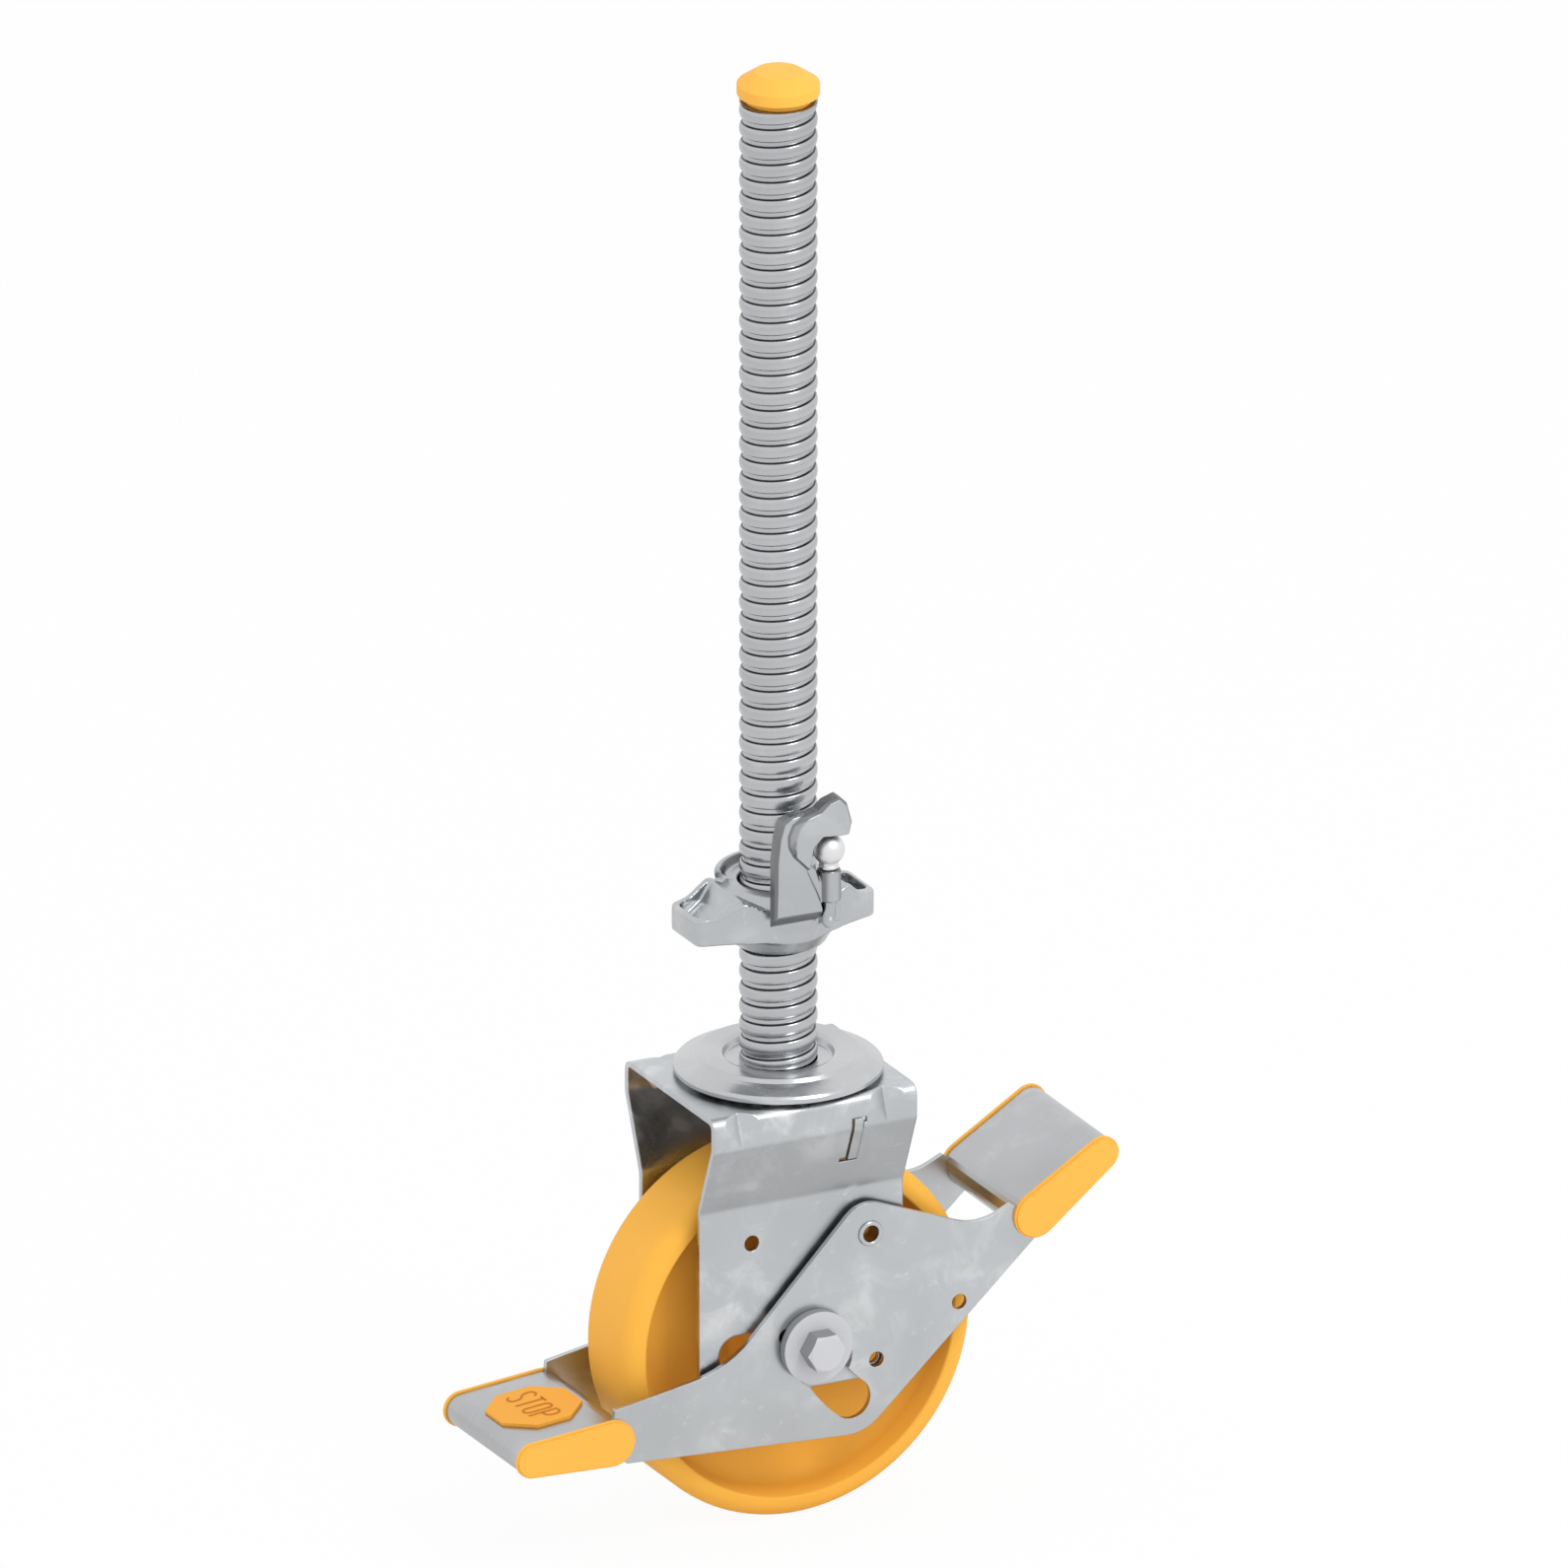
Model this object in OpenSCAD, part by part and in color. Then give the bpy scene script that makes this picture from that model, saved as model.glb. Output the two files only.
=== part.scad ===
// Scaffold castor with a threaded spindle, a double brake lever and a load-centring axle.
// Millimetres. Z runs up the spindle, X is the rolling direction, Y is along the axle.
// The origin is on the spindle axis, where the spindle stands on the swivel disc.

/* [Wheel] */
// Radius of the tread
wheel_r = 100; // [90:1:105]
// Width over the tread
wheel_w = 50; // [40:1:52]
// Rounding of the tread's two shoulders
shoulder_r = 9; // [5:1:12]
// Thickness of the rim at its side faces
rim_t = 12; // [10:0.5:16]
// How much the rim thickens towards the web
rim_draft = 4; // [2:0.5:6]
// Thickness of the web
web_t = 15; // [10:1:20]
// Radius of the hub
hub_r = 27; // [22:1:32]
// Radius of the bushes in the hub
bush_r = 12.8; // [12:0.1:15]
// Radius of the bushes' flanges
flange_r = 16.8; // [15:0.1:20]
// Thickness of the bushes' flanges
flange_t = 2.4; // [1.5:0.1:3]
// Length of each bush inside the hub
bush_l = 18; // [12:1:24]
// Play between the bushes' flanges and the fork's legs
side_play = 0.2; // [0.1:0.1:0.6]

/* [Axle] */
// Outer radius of the axle tube
tube_r = 9.8; // [8:0.1:10]
// How far the axle tube stands out past the lever plates
tube_spare = 0.6; // [0.3:0.1:1.5]
// Radius of the bolt's shank
bolt_r = 6; // [5:0.5:7]
// Width of the bolt's hexagon over its flats
bolt_af = 19; // [17:1:22]
// Height of the bolt's head
bolt_head_h = 10.5; // [7:0.5:12]
// Height of the locknut
bolt_nut_h = 11; // [9:1:13]
// Radius of the thick washers
washer_r = 19.5; // [17:0.1:22]
// Thickness of the thick washers
washer_t = 5; // [3:0.5:6]
// Running gap of shafts in their holes
run_gap = 0.05; // [0.02:0.01:0.1]

/* [Fork] */
// Thickness of the fork's sheet
fork_t = 3; // [2.5:0.5:4]
// Left edge of the fork, from the spindle axis
fork_left = -62.5; // [-66:0.5:-58]
// Right edge of the fork, from the spindle axis
fork_right = 54; // [50:0.5:58]
// Height of the fork's top above the braked axle
fork_top = 136.5; // [134:0.5:140]
// Half the fork's width at the top
shoulder_half = 50.2; // [48:0.1:54]
// Half the fork's width at the axle
leg_half = 34.1; // [33.5:0.1:36]
// Height above the axle where the shoulders start to slope in
slope_top = 119; // [116:0.5:122]
// Height above the axle where the slope ends
slope_bottom = 79.5; // [76:0.5:84]
// How far the legs reach below the axle
leg_drop = 25.8; // [20:0.1:28]
// Rounding of the legs' lower corners
leg_corner = 14; // [8:1:18]
// Left face of the brake plate, from the spindle axis
plate_left = 18.5; // [16:0.5:22]
// Thickness of the brake plate
plate_t = 5; // [4:0.5:6]
// Gap between the braked wheel's tread and the brake plate
plate_gap = 0.33; // [0.2:0.01:1]
// Height of the brake plate's top above the braked axle
plate_top = 123.8; // [121:0.1:126]
// Distance of the pressed gussets from the fork's edges
gusset_inset = 16.5; // [14:0.5:20]
// Half the length of a gusset along the fork's fold
gusset_half = 13; // [8:0.5:13]
// Reach of a gusset into the fork's top
gusset_top = 6.9; // [4:0.1:8]
// Reach of a gusset down the fork's shoulder
gusset_side = 18.5; // [12:0.5:18.5]
// Half the height of the axle slots
slot_half = 9.9; // [9.9:0.05:10.2]
// How far the slots run past the axle's travel
slot_spare = 3.5; // [1:0.5:5]

/* [Lever] */
// Thickness of the lever's side plates
lever_t = 3; // [2.5:0.5:3]
// Thickness of the spacer rings between the fork and the lever plates
spacer_t = 2.85; // [1.5:0.05:4]
// Gap between the braked wheel's tread and the stop treadle
stop_clear = 9; // [6:0.5:14]
// How far the stop treadle lies below the braked axle
stop_drop = 33.5; // [30:0.1:37]
// Slope of the stop treadle, in degrees
stop_slope = 1.5; // [0:0.5:4]
// Gap between the braked wheel's tread and the release treadle
release_clear = 24.65; // [20:0.05:28]
// How far the release treadle lies above the braked axle
release_rise = 48.8; // [46:0.1:52]
// Slope of the release treadle, in degrees
release_slope = 35.3; // [32:0.1:38]
// Height of the plates above the pivot
pivot_rim = 19.9; // [17:0.1:24]
// Depth of the plates below the braked axle
lever_drop = 53.9; // [50:0.1:58]
// Sideways place of the lock hole, from the spindle axis
lock_x = 35.9; // [34:0.1:38]
// How far the lock hole lies below the braked axle
lock_drop = 14.8; // [13:0.1:16]
// Sideways place of the spare hole, from the spindle axis
spare_x = 83.4; // [80:0.1:88]
// Height of the spare hole above the braked axle
spare_z = 8.4; // [6:0.1:12]
// Radius of the holes for locking and hanging
hole_r = 4.2; // [3.5:0.1:5]
// Sideways place of the lever's pivot, from the spindle axis
pivot_x = 32.5; // [28:0.5:36]
// Height of the lever's pivot above the braked axle
pivot_z = 55; // [50:0.5:58]
// Turn of the lever from braked to free, in degrees
lever_turn = 45; // [45:1:46]
// Travel of the axle from braked to free
axle_travel = 38; // [37:0.5:39]
// Half the width of the lever's cam slot
cam_half = 11; // [10.5:0.1:11.5]
// Radius of the cam slot's wide head beside the braked axle
cam_head_r = 16.5; // [14:0.5:17]
// Outer radius of the hollow rivets' heads
rivet_head_r = 6.9; // [6.2:0.1:8]
// Radius of the hollow rivets' shanks
rivet_r = 5.6; // [5:0.1:6]
// Bore radius of the hollow rivets
rivet_bore_r = 4.4; // [3.5:0.1:4.6]

/* [Treadles] */
// Radius of a treadle's rounded edge beside the wheel
tread_in_r = 11.5; // [10:0.5:12]
// Radius of a treadle's outer edge
tread_out_r = 8.5; // [7:0.5:9]
// Wall thickness of the treadles
tread_wall = 2.5; // [2:0.5:3]
// Length of a treadle from its inner to its outer edge centre
tread_len = 46; // [42:1:50]
// How far the plastic caps stand out past the treadle's surface
cap_lip = 1; // [0.5:0.1:1.5]
// Thickness of the caps' flanges
cap_t = 2.6; // [2:0.1:4]
// Depth of the caps' plugs
cap_plug = 12; // [8:1:16]
// Corner radius of the stop badge's octagon
badge_r = 25; // [20:1:26]
// Thickness of the stop badge
badge_t = 1.6; // [1:0.1:2.5]

/* [Spindle] */
// Crest radius of the spindle's thread
crest_r = 20.3; // [19:0.1:21]
// Root radius of the spindle's thread
root_r = 17.8; // [17:0.1:18.5]
// Bore radius of the spindle tube
spindle_bore_r = 13; // [12:0.5:14]
// Length of the spindle above the swivel disc
spindle_l = 526; // [400:1:600]
// Pitch of the thread
pitch = 9.65; // [9:0.05:10]
// Width of the thread's crest
crest_w = 5.2; // [4:0.1:5.8]
// Width of each of the thread's flanks
flank_w = 1.5; // [1:0.1:1.7]
// Radius of the spindle's cap
cap_r = 21.4; // [20.5:0.1:23]
// Height of the cap's straight rim
cap_rim_h = 6; // [4:0.5:8]
// Height of the cap's dome
cap_dome_h = 7; // [4:0.5:9]
// Radius of the flat on top of the cap's dome
cap_flat_r = 9; // [6:0.5:14]
// Depth of the cap's plug in the spindle
cap_plug_l = 20; // [10:1:30]
// Height of the gap between the spindle and the cap's rim
cap_neck_h = 3.4; // [2:0.1:5]

/* [Swivel head] */
// Outer radius of the swivel disc
disc_r = 53.9; // [50:0.1:56]
// Gap between the disc's rim and the fork
disc_gap = 2.9; // [2:0.1:4]
// Thickness of the disc's sheet
disc_t = 3; // [2.5:0.5:3.5]
// Radius of the kingpin
kingpin_r = 10; // [9:0.5:11]
// Height of the kingpin's head inside the spindle
kingpin_head_h = 28; // [20:1:40]
// Height of the nut on the kingpin
kingpin_nut_h = 11; // [9:1:13]
// Radius of the upper bearing balls
ball_r = 4; // [3.5:0.5:4.5]
// Radius of the upper ball ring
ball_ring_r = 38; // [36:1:40]
// Number of upper balls
ball_count = 27; // [20:1:28]
// Radius of the lower bearing balls
low_ball_r = 3.2; // [3:0.1:3.5]
// Radius of the lower ball ring
low_ring_r = 24; // [22:1:27]
// Number of lower balls
low_ball_count = 22; // [16:1:22]

/* [Adjusting nut] */
// Height of the nut's foot above the swivel disc
nut_z = 65; // [20:1:400]
// Height of the seat for the scaffold tube above the nut's foot
seat_h = 34; // [32:0.5:36]
// Height of the collar above the seat
collar_h = 4.5; // [3:0.5:8]
// Inner radius of the collar at the seat
collar_in_r = 27.4; // [25:0.1:28]
// Outer radius of the collar
collar_out_r = 33; // [31.5:0.5:34]
// Angle that the collar spans to each side of the nut's back, in degrees
collar_span = 61; // [50:1:75]
// Radius of the nut's hub
nut_r = 29; // [28:0.1:29.2]
// Radius of the nut's foot
foot_r = 24.6; // [23:0.1:26]
// Reach of the left wing from the spindle axis
wing_left = 55; // [50:0.5:60]
// Reach of the right wing from the spindle axis
wing_right = 48.5; // [46:0.5:60]
// Thickness of the walls round the wings' pockets
wing_wall = 3.6; // [3:0.1:5]
// Width of the wings
wing_w = 30; // [26:1:32]
// Height of the wings' underside above the nut's foot
wing_low = 9.5; // [8:0.5:12]
// Height of the wings' top above the nut's foot
wing_high = 24; // [22:0.5:26]
// Gap between the thread's crest and the nut's bore
nut_gap = 0.3; // [0.2:0.05:0.4]

/* [Locking claw] */
// Sideways place of the claw's stud
stud_x = 11.6; // [10:0.1:13]
// Distance of the claw's stud in front of the spindle axis
stud_y = 34; // [34:0.1:36]
// Radius of the claw's stud
stud_r = 3.5; // [3:0.1:4]
// Radius of the stud's root in the nut
stud_root_r = 2.5; // [2:0.1:2.8]
// Radius of the ball on the stud
knob_r = 8.3; // [7:0.1:8.5]
// Thickness of the claw
claw_t = 7; // [5:0.5:8]
// Height of the claw's foot above the nut's foot
claw_foot = 26; // [24:0.5:28]
// Height of the claw
claw_h = 63; // [60:0.5:66]
// How far the claw's foot reaches to the left of the spindle axis
claw_left = 20.5; // [18:0.5:24]
// How far the claw's foot reaches to the right of the spindle axis
claw_right = 7; // [6:0.5:9]
// How far the claw's tip reaches to the right of the spindle axis
claw_tip = 22.6; // [21:0.1:25]
// How far the claw's hook stands out in front of its plate
hook_rise = 2.6; // [1:0.1:4]
// Height of the claw's knuckle on the stud
knuckle_h = 12.5; // [10:0.5:13]

/* [Hidden] */
$fn = 64;
eps = 0.01;
// Height of the braked axle's centre below the origin
disc_top = 7.5;
axle_drop = fork_top + disc_top;
disc_rim_z = fork_top + disc_gap;
// Wheel, bushes and lever plates take their places from the fork's legs.
leg_in = leg_half - fork_t;
hub_half = leg_in - side_play - flange_t;
lever_in = leg_half + spacer_t + run_gap;
lever_half = lever_in + lever_t;
tube_half = lever_half + tube_spare;
rim_inner_r = wheel_r - rim_t;
rim_web_r = rim_inner_r - rim_draft;
// Reach of the lever from the braked axle to the two treadles
stop_reach = sqrt(pow(wheel_r + tread_in_r + stop_clear, 2) - pow(stop_drop, 2));
release_reach = sqrt(pow(wheel_r + tread_in_r + release_clear, 2) - pow(release_rise, 2));
// Centres of the treadles' rounded edges and of the lock hole, in the braked pose
stop_in = [-stop_reach, -stop_drop];
stop_angle = 180 + stop_slope;
release_in = [release_reach, release_rise];
lock_hole = [lock_x, -lock_drop];

steel = [0.76, 0.78, 0.79];
steel_dark = [0.66, 0.67, 0.68];
bolt_grey = [0.83, 0.83, 0.85];
yellow = [0.96, 0.70, 0.30];
ball_steel = [0.9, 0.9, 0.91];

// Helpers

// Everything below the swivel disc is drawn from the braked axle's centre.
module from_axle() {
    translate([0, 0, -axle_drop])
        children();
}

// Stands a drawing of X and Z up between two distances in front of the middle plane.
module between_y(y_near, y_far) {
    translate([0, y_far, 0])
        rotate([90, 0, 0])
            linear_extrude(y_far - y_near)
                children();
}

module both_sides() {
    children();
    mirror([0, 1, 0])
        children();
}

function unit(v) = v / norm(v);

// Points of a polygon whose corners [x, z, radius] are rounded with arcs.
function corner_arc(a, b, c, steps = 6) =
    let (p = [b[0], b[1]],
        u = unit([a[0], a[1]] - p),
        v = unit([c[0], c[1]] - p),
        half = acos(u * v) / 2,
        back = b[2] / tan(half),
        middle = p + unit(u + v) * b[2] / sin(half),
        start = p + u * back - middle,
        end = p + v * back - middle,
        sweep = 180 - 2 * half,
        side = start[0] * end[1] - start[1] * end[0] > 0 ? 1 : -1)
    [for (i = [0 : steps])
        let (t = side * sweep * i / steps)
        middle + [start[0] * cos(t) - start[1] * sin(t), start[0] * sin(t) + start[1] * cos(t)]];

function rounded(corners) =
    let (n = len(corners))
    [for (i = [0 : n - 1])
        for (p = corner_arc(corners[(i + n - 1) % n], corners[i], corners[(i + 1) % n]))
            p];

// Wheel and axle

module wheel_section() {
    flat = wheel_w / 2 - shoulder_r;
    polygon(concat(
        [[bush_r, -hub_half], [hub_r - 2, -hub_half], [hub_r, -hub_half + 2], [hub_r + 3, -web_t / 2 - 2],
            [hub_r + 5, -web_t / 2], [rim_web_r - 5, -web_t / 2], [rim_web_r, -web_t / 2 - 4],
            [rim_inner_r, -wheel_w / 2 + 1.5], [rim_inner_r + 1.5, -wheel_w / 2]],
        [for (a = [-90 : 15 : 0]) [wheel_r - shoulder_r + shoulder_r * cos(a), -flat + shoulder_r * sin(a)]],
        [for (a = [0 : 15 : 90]) [wheel_r - shoulder_r + shoulder_r * cos(a), flat + shoulder_r * sin(a)]],
        [[rim_inner_r + 1.5, wheel_w / 2], [rim_inner_r, wheel_w / 2 - 1.5], [rim_web_r, web_t / 2 + 4],
            [rim_web_r - 5, web_t / 2], [hub_r + 5, web_t / 2], [hub_r + 3, web_t / 2 + 2],
            [hub_r, hub_half - 2], [hub_r - 2, hub_half], [bush_r, hub_half]]));
}

module wheel() {
    color(yellow)
        from_axle()
            rotate([90, 0, 0])
                rotate_extrude($fn = 96)
                    wheel_section();
}

// Flanged plain bushes, one in each end of the hub
module wheel_bushes() {
    color(steel_dark)
        from_axle()
            both_sides()
                difference() {
                    union() {
                        between_y(hub_half - bush_l, hub_half + eps)
                            circle(bush_r);
                        between_y(hub_half, hub_half + flange_t)
                            circle(flange_r);
                    }
                    between_y(hub_half - bush_l - 1, leg_in + 1)
                        circle(tube_r + run_gap);
                }
}

module axle_tube() {
    color(steel)
        from_axle()
            between_y(-tube_half, tube_half)
                difference() {
                    circle(tube_r);
                    circle(bolt_r + 0.2);
                }
}

module axle_washers() {
    color(bolt_grey)
        from_axle()
            both_sides()
                between_y(tube_half, tube_half + washer_t)
                    difference() {
                        circle(washer_r);
                        circle(bolt_r + 0.2);
                    }
}

module hexagon(flats) {
    rotate(30)
        circle(flats / 2 / cos(30), $fn = 6);
}

module axle_bolt() {
    outer = tube_half + washer_t;
    color(bolt_grey)
        from_axle() {
            between_y(-outer - bolt_head_h, -outer)
                hexagon(bolt_af);
            between_y(-outer - eps, outer + bolt_nut_h + 2)
                circle(bolt_r);
        }
}

module axle_nut() {
    outer = tube_half + washer_t;
    color(bolt_grey)
        from_axle()
            difference() {
                union() {
                    between_y(outer, outer + bolt_nut_h - 3)
                        hexagon(bolt_af);
                    between_y(outer, outer + bolt_nut_h)
                        circle(bolt_af / 2 - 0.8);
                }
                between_y(outer - 1, outer + bolt_nut_h + 1)
                    circle(bolt_r + 0.02);
            }
}

// Fork, pressed from one sheet

module fork_outside() {
    polygon(rounded([[leg_half, -leg_drop, 0.1], [leg_half, slope_bottom, 8], [shoulder_half, slope_top, 8],
        [shoulder_half, fork_top, 6], [-shoulder_half, fork_top, 6], [-shoulder_half, slope_top, 8],
        [-leg_half, slope_bottom, 8], [-leg_half, -leg_drop, 0.1]]));
}

// The inside runs parallel, one sheet thickness away.
module fork_inside() {
    lean = atan((shoulder_half - leg_half) / (slope_top - slope_bottom)) / 2;
    shift = fork_t * tan(lean);
    polygon(rounded([[leg_in, -leg_drop - 1, 0.1], [leg_in, slope_bottom + shift, 11],
        [shoulder_half - fork_t, slope_top + shift, 5], [shoulder_half - fork_t, fork_top - fork_t, 3],
        [fork_t - shoulder_half, fork_top - fork_t, 3], [fork_t - shoulder_half, slope_top + shift, 5],
        [-leg_in, slope_bottom + shift, 11], [-leg_in, -leg_drop - 1, 0.1]]));
}

module along_fork() {
    translate([fork_left, 0, 0])
        rotate([90, 0, 90])
            linear_extrude(fork_right - fork_left)
                children();
}

// A gusset's valley runs slantwise under the fold; its two faces rise from there to the fold's line.
gusset_slant = atan(gusset_top / gusset_side);
gusset_depth = gusset_top * cos(gusset_slant);
gusset_angle = atan(gusset_half / gusset_depth);

// The wedge over one fold, with its valley moved inwards by the sheet's thickness when inner is 1
module gusset_wedge(x, inner) {
    back = inner * fork_t / sin(gusset_angle);
    reach = 12;
    half_open = reach * tan(gusset_angle);
    length = 60;
    translate([x, shoulder_half - gusset_top, fork_top])
        rotate([gusset_slant, 0, 0])
            translate([0, -back, -length / 2])
                linear_extrude(length)
                    polygon([[0, 0], [half_open, reach], [-half_open, reach]]);
}

module gussets(inner) {
    both_sides()
        for (x = [fork_left + gusset_inset, fork_right - gusset_inset])
            gusset_wedge(x, inner);
}

// The legs seen from the side: axle slot, pivot hole, spare pivot hole and lock hole
module leg_cuts() {
    slot_l = axle_travel + slot_spare;
    circle(slot_half);
    translate([-slot_l, 0])
        circle(slot_half);
    translate([-slot_l, -slot_half])
        square([slot_l, 2 * slot_half]);
    translate([pivot_x, pivot_z])
        circle(rivet_r);
    translate([-pivot_x, pivot_z + 4])
        circle(hole_r);
    translate(lock_hole)
        circle(hole_r);
}

// Corners of the legs that are rounded away
module leg_corner_cut(x, side) {
    difference() {
        translate([side > 0 ? x - leg_corner : x - 1, -leg_drop - 1])
            square([leg_corner + 1, leg_corner + 1]);
        translate([x - side * leg_corner, -leg_drop + leg_corner])
            circle(leg_corner);
    }
}

// Slit with a hooked top and foot, where the brake plate's ears hang
plate_x = [plate_left, plate_left + plate_t];
plate_z = [sqrt(pow(wheel_r, 2) - pow(plate_left, 2)) + plate_gap, plate_top];
module slit() {
    translate([plate_x[0] - 1.7, plate_z[0] - 0.6])
        square([plate_x[1] - plate_x[0] + 1.9, plate_z[1] - plate_z[0] + 1.2]);
    translate([plate_x[1] - 1, plate_z[1] - 2.4])
        square([3, 3]);
    translate([plate_x[0] - 5, plate_z[0] - 0.6])
        square([4, 2.4]);
}

module fork() {
    color(steel)
        from_axle()
            difference() {
                along_fork()
                    fork_outside();
                difference() {
                    translate([fork_left, 0, 0])
                        rotate([90, 0, 90])
                            translate([0, 0, -1])
                                linear_extrude(fork_right - fork_left + 2)
                                    fork_inside();
                    gussets(1);
                }
                gussets(0);
                between_y(-shoulder_half - 5, shoulder_half + 5) {
                    leg_cuts();
                    leg_corner_cut(fork_left, -1);
                    leg_corner_cut(fork_right, 1);
                    slit();
                }
                translate([0, 0, fork_top - 10])
                    cylinder(r = kingpin_r + run_gap, h = 20);
                // Ball grooves above and below the top plate
                translate([0, 0, fork_top - 1.2 + ball_r])
                    rotate_extrude()
                        translate([ball_ring_r, 0])
                            circle(ball_r + 0.02, $fn = 32);
                translate([0, 0, fork_top - fork_t + 0.8 - low_ball_r])
                    rotate_extrude()
                        translate([low_ring_r, 0])
                            circle(low_ball_r + 0.02, $fn = 32);
            }
}

// Cross plate that the tread runs up against; its ears pass through the fork's slits.
module brake_plate() {
    color(steel_dark)
        from_axle()
            intersection() {
                translate([plate_x[0], 0, 0])
                    rotate([90, 0, 90])
                        linear_extrude(plate_x[1] - plate_x[0])
                            difference() {
                                polygon(brake_outline());
                                translate([-16, plate_z[1] - 8])
                                    square([32, 9]);
                            }
                translate([0, -80, plate_z[0]])
                    cube([60, 160, plate_z[1] - plate_z[0]]);
            }
}

// The plate reaches out to the fork's outer face on both sides.
function brake_outline() =
    let (run = (shoulder_half - leg_half) / (slope_top - slope_bottom),
        low = leg_half + (plate_z[0] - slope_bottom) * run)
    [[low, plate_z[0]], [shoulder_half - 0.8, slope_top - 2], [shoulder_half, slope_top + 2],
        [shoulder_half, plate_z[1]], [-shoulder_half, plate_z[1]], [-shoulder_half, slope_top + 2],
        [-shoulder_half + 0.8, slope_top - 2], [-low, plate_z[0]]];

// Lever: two side plates on hollow rivets, with a treadle at each end

// Place of the axle on the lever plate when the lever has made part t of its turn
function cam_point(t) =
    let (turn = lever_turn * t,
        x = -axle_travel * t - pivot_x)
    [pivot_x + x * cos(turn) + pivot_z * sin(turn), pivot_z + x * sin(turn) - pivot_z * cos(turn)];

function cam_side(t) =
    let (step = cam_point(t + 0.01) - cam_point(t - 0.01),
        along = unit(step))
    cam_half * [-along[1], along[0]];

module cam_slot() {
    steps = 12;
    polygon(concat(
        [for (i = [0 : steps]) cam_point(i / steps) + cam_side(i / steps)],
        [for (i = [steps : -1 : 0]) cam_point(i / steps) - cam_side(i / steps)]));
    translate(cam_point(0))
        circle(cam_half);
    translate(cam_point(1))
        circle(cam_half);
    // The slot is wider beside the braked axle, where the lever swings clear of it.
    translate([cam_half / 2, -cam_half * 0.8])
        circle(cam_head_r);
    translate([-tube_r - 6, 6.8])
        circle(hole_r);
}

// Outline of a treadle, or of its cap when lip is above 0, or of its hollow when lip is below 0
module treadle_shape(lip) {
    big = tread_in_r + lip;
    small = tread_out_r + lip;
    lean = acos((big - small) / tread_len);
    steps = 14;
    polygon(concat(
        [for (i = [0 : steps]) let (a = lean + i * (360 - 2 * lean) / steps) big * [cos(a), sin(a)]],
        [for (i = [0 : steps]) let (a = -lean + i * 2 * lean / steps)
            [tread_len, 0] + small * [cos(a), sin(a)]]));
}

module at_stop() {
    translate(stop_in)
        rotate(stop_angle)
            children();
}

module at_release() {
    translate(release_in)
        rotate(release_slope)
            children();
}

module lever_outline() {
    polygon(rounded([
        [1.8 - stop_reach, tread_in_r + 5.7 - stop_drop, 1], [67 - stop_reach, 28.7 - stop_drop, 60],
        [pivot_x - 5.2, pivot_z + pivot_rim, 17], [release_reach - 32.5, release_rise - 0.7, 30],
        [release_reach - 14, release_rise + 8, 0.5], [release_reach, release_rise, 0.2],
        [release_reach, release_rise - tread_in_r - 1.2, 0.5], [pivot_x - 3.3, -lever_drop, 25],
        [8.4 - stop_reach, -stop_drop - tread_in_r - 1.5, 0.5], [-stop_reach, -stop_drop, 0.2]]));
}

module lever_sheet() {
    difference() {
        lever_outline();
        at_stop()
            treadle_shape(0);
        at_release()
            treadle_shape(0);
        cam_slot();
        translate([pivot_x, pivot_z])
            circle(rivet_r + run_gap);
        translate(lock_hole)
            circle(hole_r);
        translate([spare_x, spare_z])
            circle(hole_r);
    }
}

module lever_plate_near() {
    color(steel)
        from_axle()
            between_y(-lever_half, -lever_in)
                lever_sheet();
}

module lever_plate_far() {
    color(steel)
        from_axle()
            between_y(lever_in, lever_half)
                lever_sheet();
}

module pivot_rivets() {
    color(steel)
        from_axle()
            both_sides()
                translate([pivot_x, 0, pivot_z])
                    difference() {
                        union() {
                            between_y(leg_in - 1.2, lever_half + 1.5)
                                circle(rivet_r);
                            between_y(leg_in - 1.2, leg_in)
                                circle(rivet_head_r);
                            between_y(lever_half + run_gap, lever_half + 1.5)
                                circle(rivet_head_r);
                        }
                        between_y(leg_in - 2, lever_half + 3)
                            circle(rivet_bore_r);
                    }
}

// Spacer rings between the fork's legs and the lever plates
module pivot_spacers() {
    color(steel_dark)
        from_axle()
            both_sides()
                translate([pivot_x, 0, pivot_z])
                    between_y(leg_half, lever_in - run_gap)
                        difference() {
                            circle(rivet_r + 4);
                            circle(rivet_r);
                        }
}

module treadle_tube() {
    between_y(-lever_half, lever_half)
        difference() {
            treadle_shape(0);
            treadle_shape(-tread_wall);
        }
}

// Two pegs hold the stop badge in the upper face of its treadle.
badge_lean = stop_angle - 180 + asin((tread_in_r - tread_out_r) / tread_len);
module on_badge() {
    translate([stop_in[0], 0, stop_in[1]])
        rotate([0, -badge_lean, 0])
            translate([-tread_len / 2 - 0.6, 0, tread_in_r])
                children();
}

module badge_pegs(r) {
    for (y = [-12, 12])
        translate([0, y, -tread_wall - 1.5])
            cylinder(r = r, h = tread_wall + 1.5 + badge_t / 2);
}

module stop_treadle() {
    color(steel)
        from_axle()
            difference() {
                translate([stop_in[0], 0, stop_in[1]])
                    rotate([0, -stop_angle, 0])
                        treadle_tube();
                on_badge()
                    badge_pegs(2.5);
            }
}

module release_treadle() {
    color(steel)
        from_axle()
            translate([release_in[0], 0, release_in[1]])
                rotate([0, -release_slope, 0])
                    treadle_tube();
}

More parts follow.
